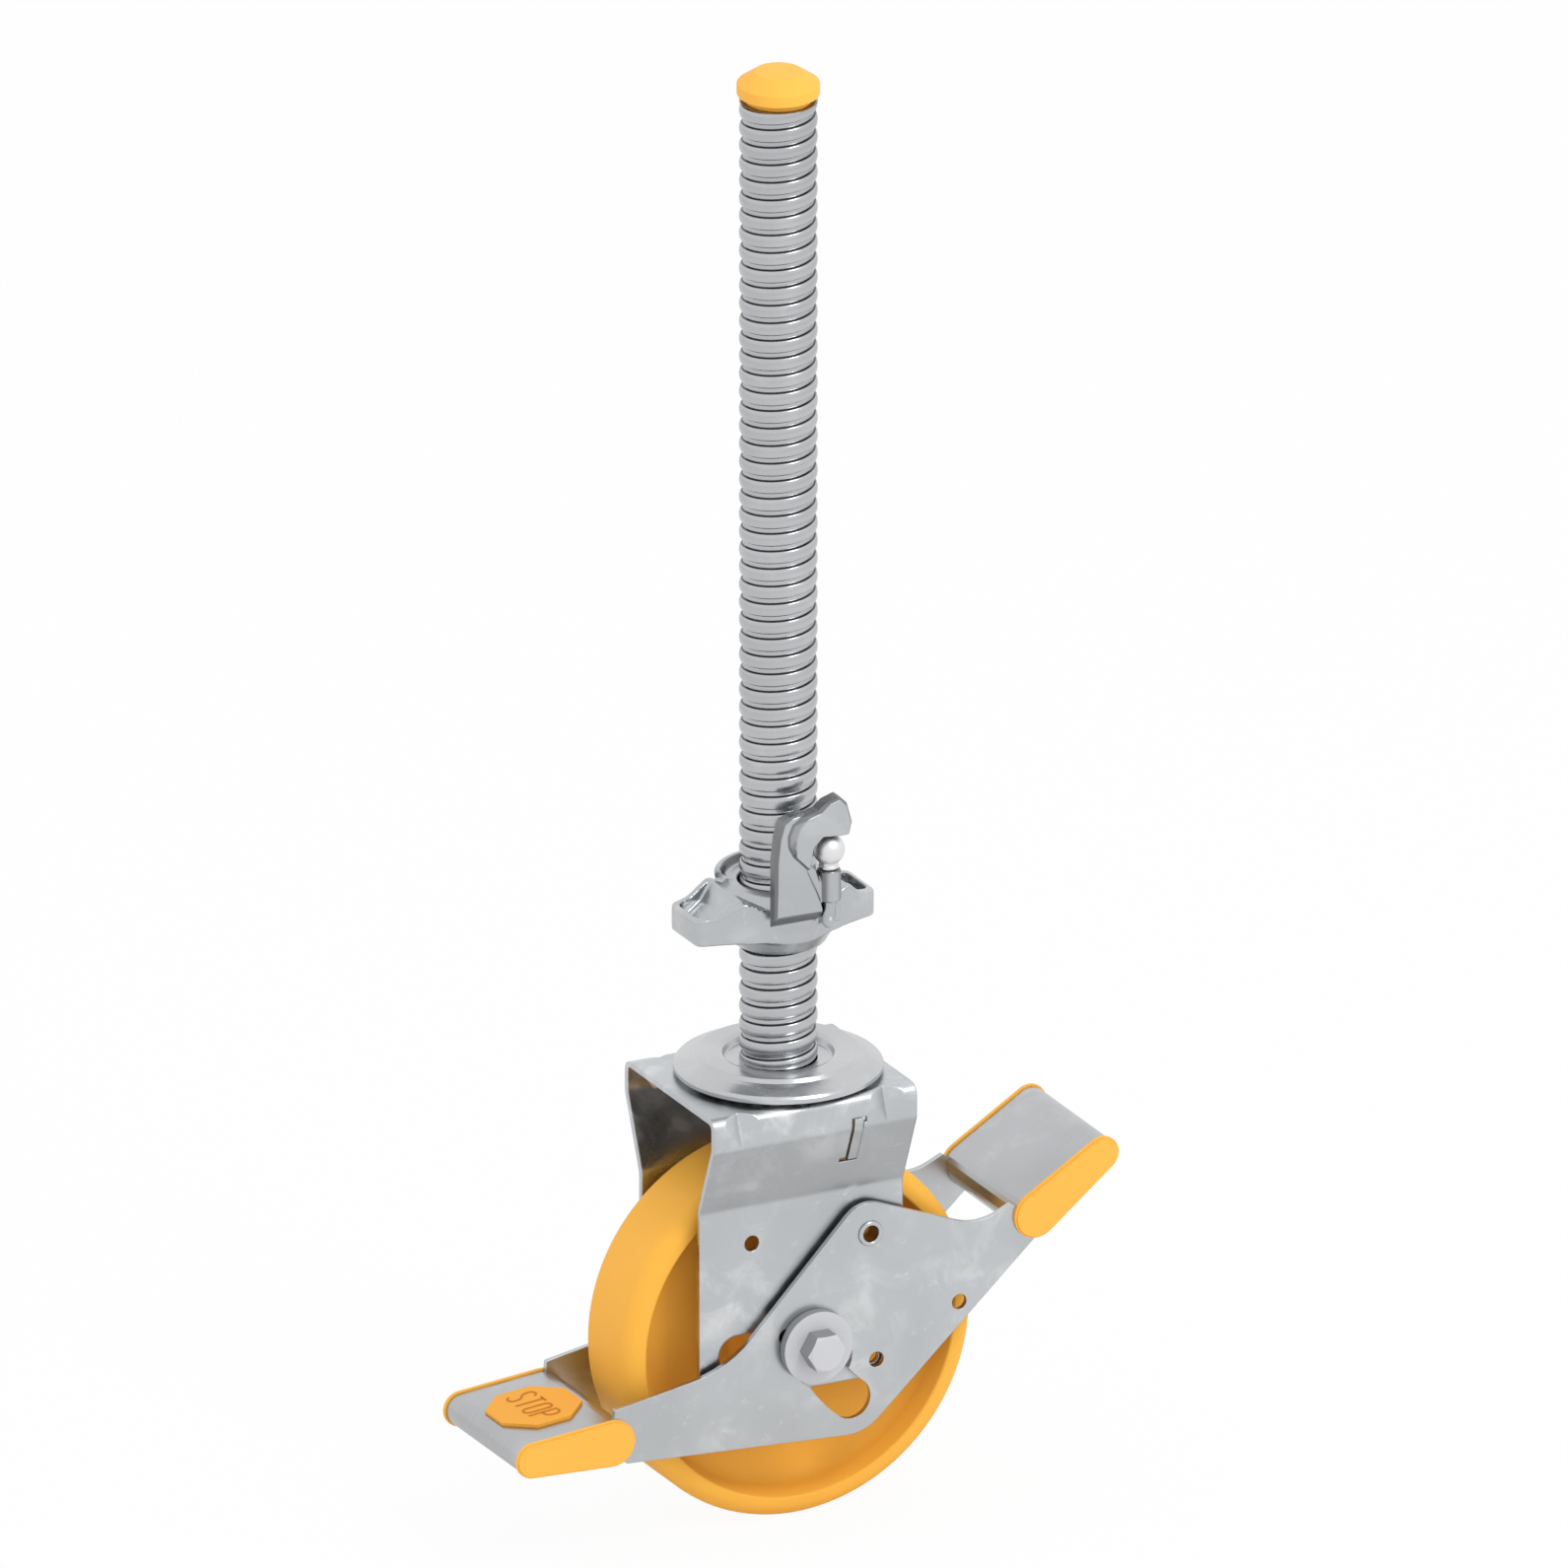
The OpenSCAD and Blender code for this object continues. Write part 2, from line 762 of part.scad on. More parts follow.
// The plastic cap closes the treadle's end and covers the end of the lever plate.
module treadle_cap() {
    color(yellow) {
        between_y(lever_half, lever_half + cap_t - 1)
            treadle_shape(cap_lip);
        between_y(lever_half + cap_t - 1 - eps, lever_half + cap_t)
            treadle_shape(cap_lip - 1);
        between_y(lever_half - cap_plug, lever_half + eps)
            difference() {
                treadle_shape(-tread_wall - 0.05);
                treadle_shape(-tread_wall - 2);
            }
    }
}

module stop_cap_far() {
    from_axle()
        translate([stop_in[0], 0, stop_in[1]])
            rotate([0, -stop_angle, 0])
                treadle_cap();
}

module stop_cap_near() {
    mirror([0, 1, 0])
        stop_cap_far();
}

module release_cap_far() {
    from_axle()
        translate([release_in[0], 0, release_in[1]])
            rotate([0, -release_slope, 0])
                treadle_cap();
}

module release_cap_near() {
    mirror([0, 1, 0])
        release_cap_far();
}

module stop_badge() {
    color(yellow)
        from_axle()
            on_badge() {
                rotate(22.5)
                    cylinder(r = badge_r, h = badge_t, $fn = 8);
                badge_pegs(2.45);
            }
}

// Swivel head

// The disc is pressed with a raised ring that holds the upper balls.
module swivel_disc() {
    rim = disc_rim_z - axle_drop;
    ring = ball_ring_r;
    color(steel)
        difference() {
            rotate_extrude($fn = 96)
                polygon([[kingpin_r + run_gap, -disc_t], [ring - 11, -disc_t], [ring - 8.5, -0.5],
                    [ring - 6, 0.2], [ring + 5, 0.2], [ring + 7, -1.5], [disc_r - 2, rim + 0.3],
                    [disc_r - 1, rim], [disc_r, rim + 0.8], [disc_r, rim + 2], [disc_r - 1.2, rim + 3],
                    [ring + 9, 1.4], [ring + 5.5, 3.4], [ring + 3.5, 4], [ring - 5, 4],
                    [ring - 7.5, 3.3], [ring - 9.8, 0.4], [ring - 11, 0], [kingpin_r + run_gap, 0]]);
            translate([0, 0, -disc_top - 1.2 + ball_r])
                rotate_extrude()
                    translate([ball_ring_r, 0])
                        circle(ball_r + 0.03, $fn = 32);
        }
}

module ball_ring(count, ring_r, r) {
    for (i = [0 : count - 1])
        rotate(360 * i / count)
            translate([ring_r, 0, 0])
                sphere(r, $fn = 24);
}

module upper_balls() {
    color(ball_steel)
        translate([0, 0, -disc_top - 1.2 + ball_r])
            ball_ring(ball_count, ball_ring_r, ball_r);
}

module lower_balls() {
    color(ball_steel)
        translate([0, 0, low_ball_z])
            ball_ring(low_ball_count, low_ring_r, low_ball_r);
}

// The lower balls run in the fork's underside and in a cup held up by the kingpin's nut.
low_ball_z = -disc_top - fork_t + 0.8 - low_ball_r;
cup_top = low_ball_z - 1.2;
cup_bottom = cup_top - 4.5;
cup_r = low_ring_r + low_ball_r + 4.3;

module lower_race() {
    color(steel_dark)
        difference() {
            translate([0, 0, cup_bottom])
                rotate_extrude()
                    polygon([[kingpin_r + 0.1, 0], [cup_r - 1.5, 0], [cup_r, 1.5], [cup_r, 5.4],
                        [cup_r - 3, 5.4], [cup_r - 3, 4.5], [kingpin_r + 0.1, 4.5]]);
            translate([0, 0, low_ball_z])
                rotate_extrude()
                    translate([low_ring_r, 0])
                        circle(low_ball_r + 0.03, $fn = 32);
        }
}

module kingpin() {
    color(steel_dark) {
        translate([0, 0, cup_bottom - kingpin_nut_h - 2])
            cylinder(r = kingpin_r, h = -cup_bottom + kingpin_nut_h + 2 + eps);
        cylinder(r = spindle_bore_r - 0.05, h = kingpin_head_h);
    }
}

module kingpin_nut() {
    color(bolt_grey)
        translate([0, 0, cup_bottom - kingpin_nut_h])
            linear_extrude(kingpin_nut_h)
                difference() {
                    hexagon(30);
                    circle(kingpin_r + 0.02);
                }
}

// Spindle: a tube with a coarse thread rolled into it, drawn as rings of the thread's section

ring_h = crest_w + 2 * flank_w;
thread_top = spindle_l - 0.5;
thread_rings = floor((thread_top - ring_h) / pitch) + 1;

// One ring of the thread, counted down from the spindle's head
function thread_ring(i) =
    let (z = thread_top - ring_h - i * pitch)
    [[root_r, z], [crest_r, z + flank_w], [crest_r, z + flank_w + crest_w], [root_r, z + ring_h]];

module spindle() {
    color(steel)
        rotate_extrude()
            polygon(concat([[spindle_bore_r, 0], [root_r, 0]],
                [for (i = [thread_rings - 1 : -1 : 0]) for (p = thread_ring(i)) p],
                [[root_r, spindle_l], [spindle_bore_r, spindle_l]]));
}

// Yellow plug in the spindle's open end
module spindle_cap() {
    rim_top = cap_neck_h + cap_rim_h;
    top = rim_top + cap_dome_h;
    color(yellow)
        translate([0, 0, spindle_l])
            rotate_extrude($fn = 96)
                polygon([[0, -cap_plug_l], [spindle_bore_r - 1.2, -cap_plug_l],
                    [spindle_bore_r - 0.05, -cap_plug_l + 2], [spindle_bore_r - 0.05, 0], [root_r - 0.6, 0],
                    [root_r - 0.6, cap_neck_h], [cap_r - 1, cap_neck_h], [cap_r, cap_neck_h + 1],
                    [cap_r, rim_top], [cap_r - 1.4, rim_top + 1], [cap_flat_r + 3, top - 1.2],
                    [cap_flat_r, top - 0.3], [0, top]]);
}

// Adjusting nut, a casting with two hollow wings

// The lug under the claw's knuckle, and the depth of the stud's hole in it
knuckle_z = [claw_foot + 5.5, claw_foot + 5.5 + knuckle_h];
lug_z = [knuckle_z[0] - 15.5, knuckle_z[0] - 0.1];
stud_root_z = knuckle_z[0] - 11;
knob_z = claw_foot + 33;

// One half of the wings seen from the front; the top dips over the hub, which has its own dome.
function wing_side(reach) =
    [[reach - 17, wing_low, 12], [reach, wing_low, 2], [reach, wing_high, 2],
        [reach - 11, wing_high + 1, 10], [nut_r + 1.5, seat_h - 2, 4], [nut_r - 13, seat_h - 8, 10]];

module wing_elevation() {
    left = wing_side(wing_left);
    last = len(left) - 1;
    polygon(rounded(concat([[0, wing_low - 2, 1]], wing_side(wing_right),
        [for (i = [last : -1 : 0]) [-left[i][0], left[i][1], left[i][2]]])));
}

// The nut seen from above: the wings' walls run tangent to the hub.
module wing_plan(inset) {
    w = wing_w / 2 - inset;
    bulge = nut_r + 1 - inset;
    round_r = 5 - inset / 2;
    polygon(rounded([[wing_right - inset, w, round_r], [0, bulge, nut_r - inset],
        [-wing_left + inset, w, round_r], [-wing_left + inset, -w, round_r], [0, -bulge, nut_r - inset],
        [wing_right - inset, -w, round_r]]));
}

// Floor of a wing's pocket, deep beside the wing's end and rising to the seat
module pocket_floor(reach) {
    deep = wing_high - 7;
    polygon([[reach, 60], [reach, deep], [reach - wing_wall - 5, deep], [nut_r + 8, wing_high - 2],
        [nut_r + 1.5, seat_h - 4], [nut_r + 1.5, 60]]);
}

module collar() {
    intersection() {
        rotate_extrude()
            polygon([[nut_r - 6, seat_h - 10], [nut_r - 0.5, seat_h - 10], [collar_out_r, seat_h],
                [collar_out_r, seat_h + collar_h - 1], [collar_out_r - 1, seat_h + collar_h],
                [collar_in_r + collar_h / 2, seat_h + collar_h], [collar_in_r, seat_h],
                [nut_r - 6, seat_h]]);
        linear_extrude(seat_h + collar_h)
            polygon([[0, 0], 80 * [sin(collar_span), cos(collar_span)], [0, 80],
                80 * [-sin(collar_span), cos(collar_span)]]);
    }
}

// Lug that carries the claw's stud, and its rib to the right wing
module stud_lug() {
    translate([stud_x, -stud_y, lug_z[0]])
        cylinder(r1 = stud_root_r, r2 = stud_root_r + 1.4, h = lug_z[1] - lug_z[0]);
    translate([stud_x - 3.6, -stud_y, lug_z[0] + 2])
        cube([11, stud_y - 20, lug_z[1] - lug_z[0] - 2]);
    between_y(-wing_w / 2 - 5, -wing_w / 2 + 3)
        polygon([[14, 14], [36, 12], [36, 22], [18, 31.4], [8, 31.4]]);
}

module adjusting_nut() {
    bore = crest_r + nut_gap;
    color(steel)
        translate([0, 0, nut_z])
            difference() {
                union() {
                    rotate_extrude()
                        polygon([[bore - 1, 0], [foot_r - 1, 0], [foot_r, 1], [nut_r - 1, 7], [nut_r, 10],
                            [nut_r, seat_h - 9], [nut_r - 1, seat_h - 5.5], [nut_r - 3.4, seat_h - 2],
                            [nut_r - 5.5, seat_h - 0.5], [nut_r - 7, seat_h], [bore - 1, seat_h]]);
                    difference() {
                        intersection() {
                            linear_extrude(seat_h + collar_h)
                                wing_plan(0);
                            between_y(-2 * wing_w, 2 * wing_w)
                                wing_elevation();
                        }
                        intersection() {
                            linear_extrude(60)
                                wing_plan(wing_wall);
                            between_y(-2 * wing_w, 2 * wing_w) {
                                pocket_floor(wing_right);
                                mirror([1, 0])
                                    pocket_floor(wing_left);
                            }
                        }
                    }
                    collar();
                    stud_lug();
                }
                translate([0, 0, -1])
                    cylinder(r = bore, h = seat_h + collar_h + 2);
                translate([0, 0, seat_h - 1.5])
                    cylinder(r1 = bore - 0.5, r2 = bore + 1.5, h = 2);
                translate([stud_x, -stud_y, stud_root_z])
                    cylinder(r = stud_root_r, h = 20);
            }
}

// The claw swings on a ball-headed stud beside the nut's seat.

// The plate stands in front of the nut's hub.
module claw_plate() {
    top = claw_foot + claw_h;
    polygon(rounded([[-claw_left, claw_foot, 1], [claw_right, claw_foot, 1],
        [claw_right - 15.5, top - 27.5, 1], [claw_right - 12, top - 8, 8], [claw_tip - 27, top - 6.2, 2],
        [4.2 - claw_left, top - 8, 8], [0.8 - claw_left, top - 32, 20]]));
}

// The hook rises beside the ball and closes over it.
module claw_hook() {
    top = claw_foot + claw_h;
    polygon(rounded([[stud_x + 1, claw_foot + 12, 1], [stud_x - knob_r - 3.2, top - 33, 14],
        [stud_x - knob_r - 2, top - 18, 8], [claw_tip, top - 22.4, 4], [claw_tip + 0.4, top - 5, 7],
        [claw_tip - 6.5, top + 1.6, 5], [claw_tip - 17, top - 7.2, 4], [1 - claw_right, top - 9, 3],
        [claw_right - 19, top - 14, 5], [claw_right - 16.5, top - 30, 3],
        [claw_right - 3, claw_foot + 4, 1]]));
}

module locking_claw() {
    front = -stud_y - claw_t / 2;
    color(steel)
        translate([0, 0, nut_z])
            difference() {
                union() {
                    between_y(front, -stud_y + claw_t / 2)
                        claw_plate();
                    between_y(front - hook_rise, -stud_y + claw_t / 2 - 1)
                        claw_hook();
                    // The foot slopes back under the plate, down to the nut's hub.
                    translate([-claw_left, 0, 0])
                        rotate([90, 0, 90])
                            linear_extrude(claw_right + claw_left - 1)
                                polygon([[front, claw_foot + 1], [front, claw_foot + 0.3],
                                    [front + claw_t, claw_foot - claw_t + 0.3],
                                    [front + claw_t, claw_foot + 1]]);
                    translate([stud_x, -stud_y, knuckle_z[0]])
                        cylinder(r = stud_r + 2.8, h = knuckle_z[1] - knuckle_z[0]);
                    translate([-4, -stud_y - claw_t / 2 + 0.5, knuckle_z[0]])
                        cube([stud_x + 4, claw_t - 1, knuckle_z[1] - knuckle_z[0] - 1]);
                }
                // The hook's lower part falls back beside the plate.
                translate([claw_right + 0.5, front + 1.4, claw_foot])
                    rotate([0, -24, 0])
                        rotate([0, 0, -22])
                            translate([-0.2, -20, -40])
                                cube([40, 20, 74]);
                translate([stud_x, -stud_y, knuckle_z[0] - 1])
                    cylinder(r = stud_r + run_gap, h = knuckle_z[1] - knuckle_z[0] + 2);
                // Room for the stud's collar above the knuckle.
                translate([stud_x, -stud_y, knuckle_z[1] + 0.1])
                    cylinder(r = stud_r + 1.9, h = knob_z - knuckle_z[1]);
            }
}

module claw_stud() {
    color(ball_steel)
        translate([stud_x, -stud_y, nut_z]) {
            translate([0, 0, stud_root_z])
                cylinder(r = stud_root_r, h = lug_z[1] - stud_root_z + eps);
            translate([0, 0, lug_z[1]])
                cylinder(r = stud_r, h = knuckle_z[1] + 0.3 - lug_z[1]);
            translate([0, 0, knuckle_z[1] + 0.2])
                cylinder(r1 = stud_r + 1.5, r2 = stud_r, h = 3);
            translate([0, 0, knuckle_z[1] + 3])
                cylinder(r = stud_r, h = knob_z - knuckle_z[1] - 3);
            translate([0, 0, knob_z])
                sphere(knob_r);
        }
}

spindle();
spindle_cap();
adjusting_nut();
locking_claw();
claw_stud();
swivel_disc();
upper_balls();
kingpin();
lower_balls();
lower_race();
kingpin_nut();
fork();
brake_plate();
pivot_rivets();
pivot_spacers();
lever_plate_near();
lever_plate_far();
stop_treadle();
release_treadle();
stop_cap_near();
stop_cap_far();
release_cap_near();
release_cap_far();
stop_badge();
axle_tube();
axle_washers();
axle_bolt();
axle_nut();
wheel();
wheel_bushes();
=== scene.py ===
# Scaffold castor, dressed for the camera: spindle, swivel head, fork, brake lever, axle, wheel and nut.
# A piece's sizes are in millimetres until its mesh is made. Camera, studio and materials use metres.
# The origin is the middle of the spindle's foot, and the braked axle lies 144 mm below it.

import math

import bmesh
import bpy
from mathutils import Matrix, Vector


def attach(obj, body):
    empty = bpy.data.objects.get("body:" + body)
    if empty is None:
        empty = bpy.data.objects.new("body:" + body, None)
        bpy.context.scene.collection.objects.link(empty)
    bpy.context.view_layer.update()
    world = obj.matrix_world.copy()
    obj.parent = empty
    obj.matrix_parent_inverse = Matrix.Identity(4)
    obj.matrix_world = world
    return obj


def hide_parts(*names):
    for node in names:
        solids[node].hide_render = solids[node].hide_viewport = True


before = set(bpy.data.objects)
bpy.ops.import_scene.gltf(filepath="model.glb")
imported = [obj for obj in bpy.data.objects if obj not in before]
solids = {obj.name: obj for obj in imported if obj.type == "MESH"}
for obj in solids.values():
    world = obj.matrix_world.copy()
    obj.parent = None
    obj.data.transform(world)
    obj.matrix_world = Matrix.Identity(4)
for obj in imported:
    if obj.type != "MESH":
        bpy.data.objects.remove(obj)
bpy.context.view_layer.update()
scene = bpy.context.scene

# Camera: a distant, parallel view from the left front, a little above the wheel.
# It takes in the whole castor, with the spindle's line close to the middle.
view_azimuth = math.radians(-27.0)
view_elevation = math.radians(21.6)
picture_width = 0.8015
look_at_height = 0.1498
look_at_shift = 0.0029

to_right = Vector((math.cos(view_azimuth), math.sin(view_azimuth), 0))
to_camera = Vector((
    math.sin(view_azimuth) * math.cos(view_elevation),
    -math.cos(view_azimuth) * math.cos(view_elevation),
    math.sin(view_elevation),
))
camera = bpy.data.objects.new("camera", bpy.data.cameras.new("camera"))
camera.data.type = "ORTHO"
camera.data.ortho_scale = picture_width
camera.data.clip_end = 20
camera.location = Vector((0, 0, look_at_height)) + to_right * look_at_shift + to_camera * 4
camera.rotation_mode = "QUATERNION"
camera.rotation_quaternion = to_camera.to_track_quat("Z", "Y")
scene.collection.objects.link(camera)
scene.camera = camera
scene.view_settings.view_transform = "Standard"

# Studio: a white floor under the wheel, an even white surround, and one soft lamp at the right front.
# Floor and surround show white to the camera, and light the castor at a plain level.
floor_height = -0.2441
floor_reach = 8
floor_grey = 0.85
floor_glow_share = 0.95
floor_mirrored = 0.2
surround_light = 0.95
lamp_aim = Vector((0, 0, 0.1))


def lamp(name, azimuth, elevation, distance, size, watts):
    """A square soft lamp that looks at the castor from a direction in degrees."""
    a, e = math.radians(azimuth), math.radians(elevation)
    away = Vector((math.sin(a) * math.cos(e), -math.cos(a) * math.cos(e), math.sin(e)))
    light = bpy.data.objects.new(name, bpy.data.lights.new(name, "AREA"))
    light.data.size = size
    light.data.energy = watts
    light.location = lamp_aim + away * distance
    light.rotation_mode = "QUATERNION"
    light.rotation_quaternion = away.to_track_quat("Z", "Y")
    scene.collection.objects.link(light)


lamp("key_lamp", azimuth=20, elevation=48, distance=2.2, size=0.7, watts=13)


def sees_backdrop(nodes, links, mirrored=1.0):
    """1 where the camera looks, a share where a mirror-like surface looks, 0 where light is gathered."""
    path = nodes.new("ShaderNodeLightPath")
    glossy = nodes.new("ShaderNodeMath")
    glossy.operation = "MULTIPLY"
    glossy.inputs[1].default_value = mirrored
    links.new(path.outputs["Is Glossy Ray"], glossy.inputs[0])
    both = nodes.new("ShaderNodeMath")
    both.operation = "MAXIMUM"
    links.new(path.outputs["Is Camera Ray"], both.inputs[0])
    links.new(glossy.outputs[0], both.inputs[1])
    every = nodes.new("ShaderNodeMath")
    every.operation = "MAXIMUM"
    links.new(both.outputs[0], every.inputs[0])
    links.new(path.outputs["Is Transmission Ray"], every.inputs[1])
    return every.outputs[0]


surround = bpy.data.worlds.new("surround")
scene.world = surround
surround.use_nodes = True
nodes, links = surround.node_tree.nodes, surround.node_tree.links
seen = nodes["Background"]
gathered = nodes.new("ShaderNodeBackground")
seen.inputs["Color"].default_value = (1, 1, 1, 1)
seen.inputs["Strength"].default_value = 1.0
gathered.inputs["Color"].default_value = (1, 1, 1, 1)
gathered.inputs["Strength"].default_value = surround_light
choice = nodes.new("ShaderNodeMixShader")
links.new(sees_backdrop(nodes, links), choice.inputs[0])
links.new(gathered.outputs[0], choice.inputs[1])
links.new(seen.outputs[0], choice.inputs[2])
links.new(choice.outputs[0], nodes["World Output"].inputs["Surface"])

floor_paint = bpy.data.materials.new("floor_paint")
floor_paint.use_nodes = True
nodes, links = floor_paint.node_tree.nodes, floor_paint.node_tree.links
floor_matte = nodes["Principled BSDF"]
floor_matte.inputs["Base Color"].default_value = (floor_grey, floor_grey, floor_grey, 1)
floor_matte.inputs["Roughness"].default_value = 0.9
floor_glow = nodes.new("ShaderNodeEmission")
floor_glow.inputs["Strength"].default_value = 1.0
glow_share = nodes.new("ShaderNodeMath")
glow_share.operation = "MULTIPLY"
glow_share.inputs[1].default_value = floor_glow_share
links.new(sees_backdrop(nodes, links, floor_mirrored), glow_share.inputs[0])
floor_mix = nodes.new("ShaderNodeMixShader")
links.new(glow_share.outputs[0], floor_mix.inputs[0])
links.new(floor_matte.outputs[0], floor_mix.inputs[1])
links.new(floor_glow.outputs[0], floor_mix.inputs[2])
links.new(floor_mix.outputs[0], nodes["Material Output"].inputs["Surface"])

floor_mesh = bpy.data.meshes.new("floor")
floor_mesh.from_pydata(
    [(x * floor_reach, y * floor_reach, floor_height) for x, y in ((-1, -1), (1, -1), (1, 1), (-1, 1))],
    [], [(0, 1, 2, 3)])
floor_mesh.materials.append(floor_paint)
floor = bpy.data.objects.new("floor", floor_mesh)
scene.collection.objects.link(floor)

# Spindle: a thick steel tube with a coarse right-hand thread rolled into it, then hot-dip galvanised.
# The crests are broad and rounded, with a narrow groove between them. It stands on the swivel disc.
spindle_length = 526.0
crest_radius = 20.3
groove_radius = 17.8
thread_pitch = 9.65
crest_width = 8.2
known_crest_height = 510.9
known_crest_angle = math.radians(153)
steps_per_turn = 56


def group_tree(name, inputs, outputs):
    """An empty shader group. Inputs are (name, kind, value), outputs are (name, kind)."""
    tree = bpy.data.node_groups.new(name, "ShaderNodeTree")
    for label, kind, value in inputs:
        tree.interface.new_socket(label, in_out="INPUT", socket_type=kind).default_value = value
    for label, kind in outputs:
        tree.interface.new_socket(label, in_out="OUTPUT", socket_type=kind)
    return tree, tree.nodes.new("NodeGroupInput"), tree.nodes.new("NodeGroupOutput")


def add_node(tree, kind, settings=None, **values):
    """A node with its settings, and its input values or links.

    An input goes by its name, with underscores for spaces, or by its number, as i0 or i1.
    """
    node = tree.nodes.new(kind)
    for key, value in (settings or {}).items():
        setattr(node, key, value)
    for key, value in values.items():
        numbered = key[0] == "i" and key[1:].isdigit()
        socket = node.inputs[int(key[1:]) if numbered else key.replace("_", " ")]
        if isinstance(value, bpy.types.NodeSocket):
            tree.links.new(value, socket)
        else:
            socket.default_value = value
    return node


def band(tree, value, low, high):
    """0 below low, 1 above high, a smooth step between."""
    return add_node(tree, "ShaderNodeMapRange", {"interpolation_type": "SMOOTHSTEP"},
                    Value=value, From_Min=low, From_Max=high).outputs["Result"]


def maths(tree, operation, a, b):
    """One step of arithmetic on two numbers or sockets."""
    return add_node(tree, "ShaderNodeMath", {"operation": operation}, i0=a, i1=b).outputs[0]


def blend_colours(tree, factor, a, b, kind="MIX"):
    """The second colour laid over the first by a factor."""
    node = tree.nodes.new("ShaderNodeMix")
    node.data_type = "RGBA"
    node.blend_type = kind
    for socket, value in ((node.inputs[0], factor), (node.inputs[6], a), (node.inputs[7], b)):
        if isinstance(value, bpy.types.NodeSocket):
            tree.links.new(value, socket)
        else:
            socket.default_value = value
    return node.outputs[2]


def zinc_skin_group():
    """Galvanised zinc: pale cloudy bloom, a faint drifting tone, thin rub marks, and a fine unevenness."""
    tree, given, made = group_tree("zinc_skin", [
        ("Tone", "NodeSocketColor", (0.55, 0.57, 0.59, 1)),
        ("Pale", "NodeSocketColor", (0.85, 0.86, 0.87, 1)),
        ("Bloom", "NodeSocketFloat", 0.4),
        ("Rubs", "NodeSocketFloat", 0.5),
        ("Shine", "NodeSocketFloat", 0.35),
    ], [("Color", "NodeSocketColor"), ("Roughness", "NodeSocketFloat"), ("Height", "NodeSocketFloat")])
    place = add_node(tree, "ShaderNodeTexCoord").outputs["Object"]
    cloud = add_node(tree, "ShaderNodeTexNoise", Vector=place, Scale=48.0, Detail=6.0, Roughness=0.66,
                     Distortion=0.6).outputs[0]
    drift = add_node(tree, "ShaderNodeTexNoise", Vector=place, Scale=13.0, Detail=2.0).outputs[0]
    cloud_mask = maths(tree, "MULTIPLY", band(tree, cloud, 0.44, 0.7), band(tree, drift, 0.34, 0.64))
    slanted = add_node(tree, "ShaderNodeMapping", Vector=place, Rotation=(0.5, 0.6, 0.4),
                       Scale=(90, 800, 120)).outputs[0]
    streak = add_node(tree, "ShaderNodeTexNoise", Vector=slanted, Scale=1.0, Detail=3.0,
                      Roughness=0.7).outputs[0]
    streak_mask = maths(tree, "MULTIPLY", band(tree, streak, 0.58, 0.7), band(tree, cloud, 0.4, 0.6))
    bloom = maths(tree, "MULTIPLY", cloud_mask, given.outputs["Bloom"])
    rubs = maths(tree, "MULTIPLY", streak_mask, given.outputs["Rubs"])
    pale_share = maths(tree, "MAXIMUM", bloom, rubs)
    smoke = add_node(tree, "ShaderNodeMapRange", Value=drift, From_Min=0.3, From_Max=0.7,
                     To_Min=0.93, To_Max=1.06).outputs[0]
    shaded = blend_colours(tree, 1.0, given.outputs["Tone"], smoke, "MULTIPLY")
    colour = blend_colours(tree, pale_share, shaded, given.outputs["Pale"])
    tree.links.new(colour, made.inputs["Color"])
    rough = maths(tree, "ADD", given.outputs["Shine"],
                  maths(tree, "ADD", maths(tree, "MULTIPLY", pale_share, 0.22),
                        maths(tree, "MULTIPLY", maths(tree, "SUBTRACT", cloud, 0.5), 0.2)))
    tree.links.new(rough, made.inputs["Roughness"])
    fine = add_node(tree, "ShaderNodeTexNoise", Vector=place, Scale=420.0, Detail=3.0).outputs[0]
    height = maths(tree, "ADD", maths(tree, "MULTIPLY", cloud, 0.6), maths(tree, "MULTIPLY", fine, 0.25))
    tree.links.new(height, made.inputs["Height"])
    return tree


zinc_skin = zinc_skin_group()


def zinc_material(name, tone, pale, bloom, rubs, shine, unevenness, metal=1.0, soft_edge=0.0, shaded=None,
                  shade_share=0.0, shade_tone=(0.05, 0.052, 0.056)):
    """Galvanised or plated steel, with the skin group's colour, roughness and relief.

    Shaded is a function for the mask of painted shade, on surfaces that lie in shade on the real piece.
    """
    material = bpy.data.materials.new(name)
    material.use_nodes = True
    tree = material.node_tree
    surface = tree.nodes["Principled BSDF"]
    surface.inputs["Metallic"].default_value = metal
    skin = tree.nodes.new("ShaderNodeGroup")
    skin.node_tree = zinc_skin
    skin.inputs["Tone"].default_value = (*tone, 1)
    skin.inputs["Pale"].default_value = (*pale, 1)
    skin.inputs["Bloom"].default_value = bloom
    skin.inputs["Rubs"].default_value = rubs
    skin.inputs["Shine"].default_value = shine
    colour = skin.outputs["Color"]
    if shaded:
        shade = maths(tree, "MULTIPLY", shaded(tree), shade_share)
        colour = blend_colours(tree, shade, colour, (*shade_tone, 1))
    tree.links.new(colour, surface.inputs["Base Color"])
    tree.links.new(skin.outputs["Roughness"], surface.inputs["Roughness"])
    relief = add_node(tree, "ShaderNodeBump", Strength=0.35, Distance=unevenness,
                      Height=skin.outputs["Height"])
    if soft_edge:
        fold = add_node(tree, "ShaderNodeBevel", {"samples": 6}, Radius=soft_edge)
        tree.links.new(fold.outputs[0], relief.inputs["Normal"])
    tree.links.new(relief.outputs[0], surface.inputs["Normal"])
    return material


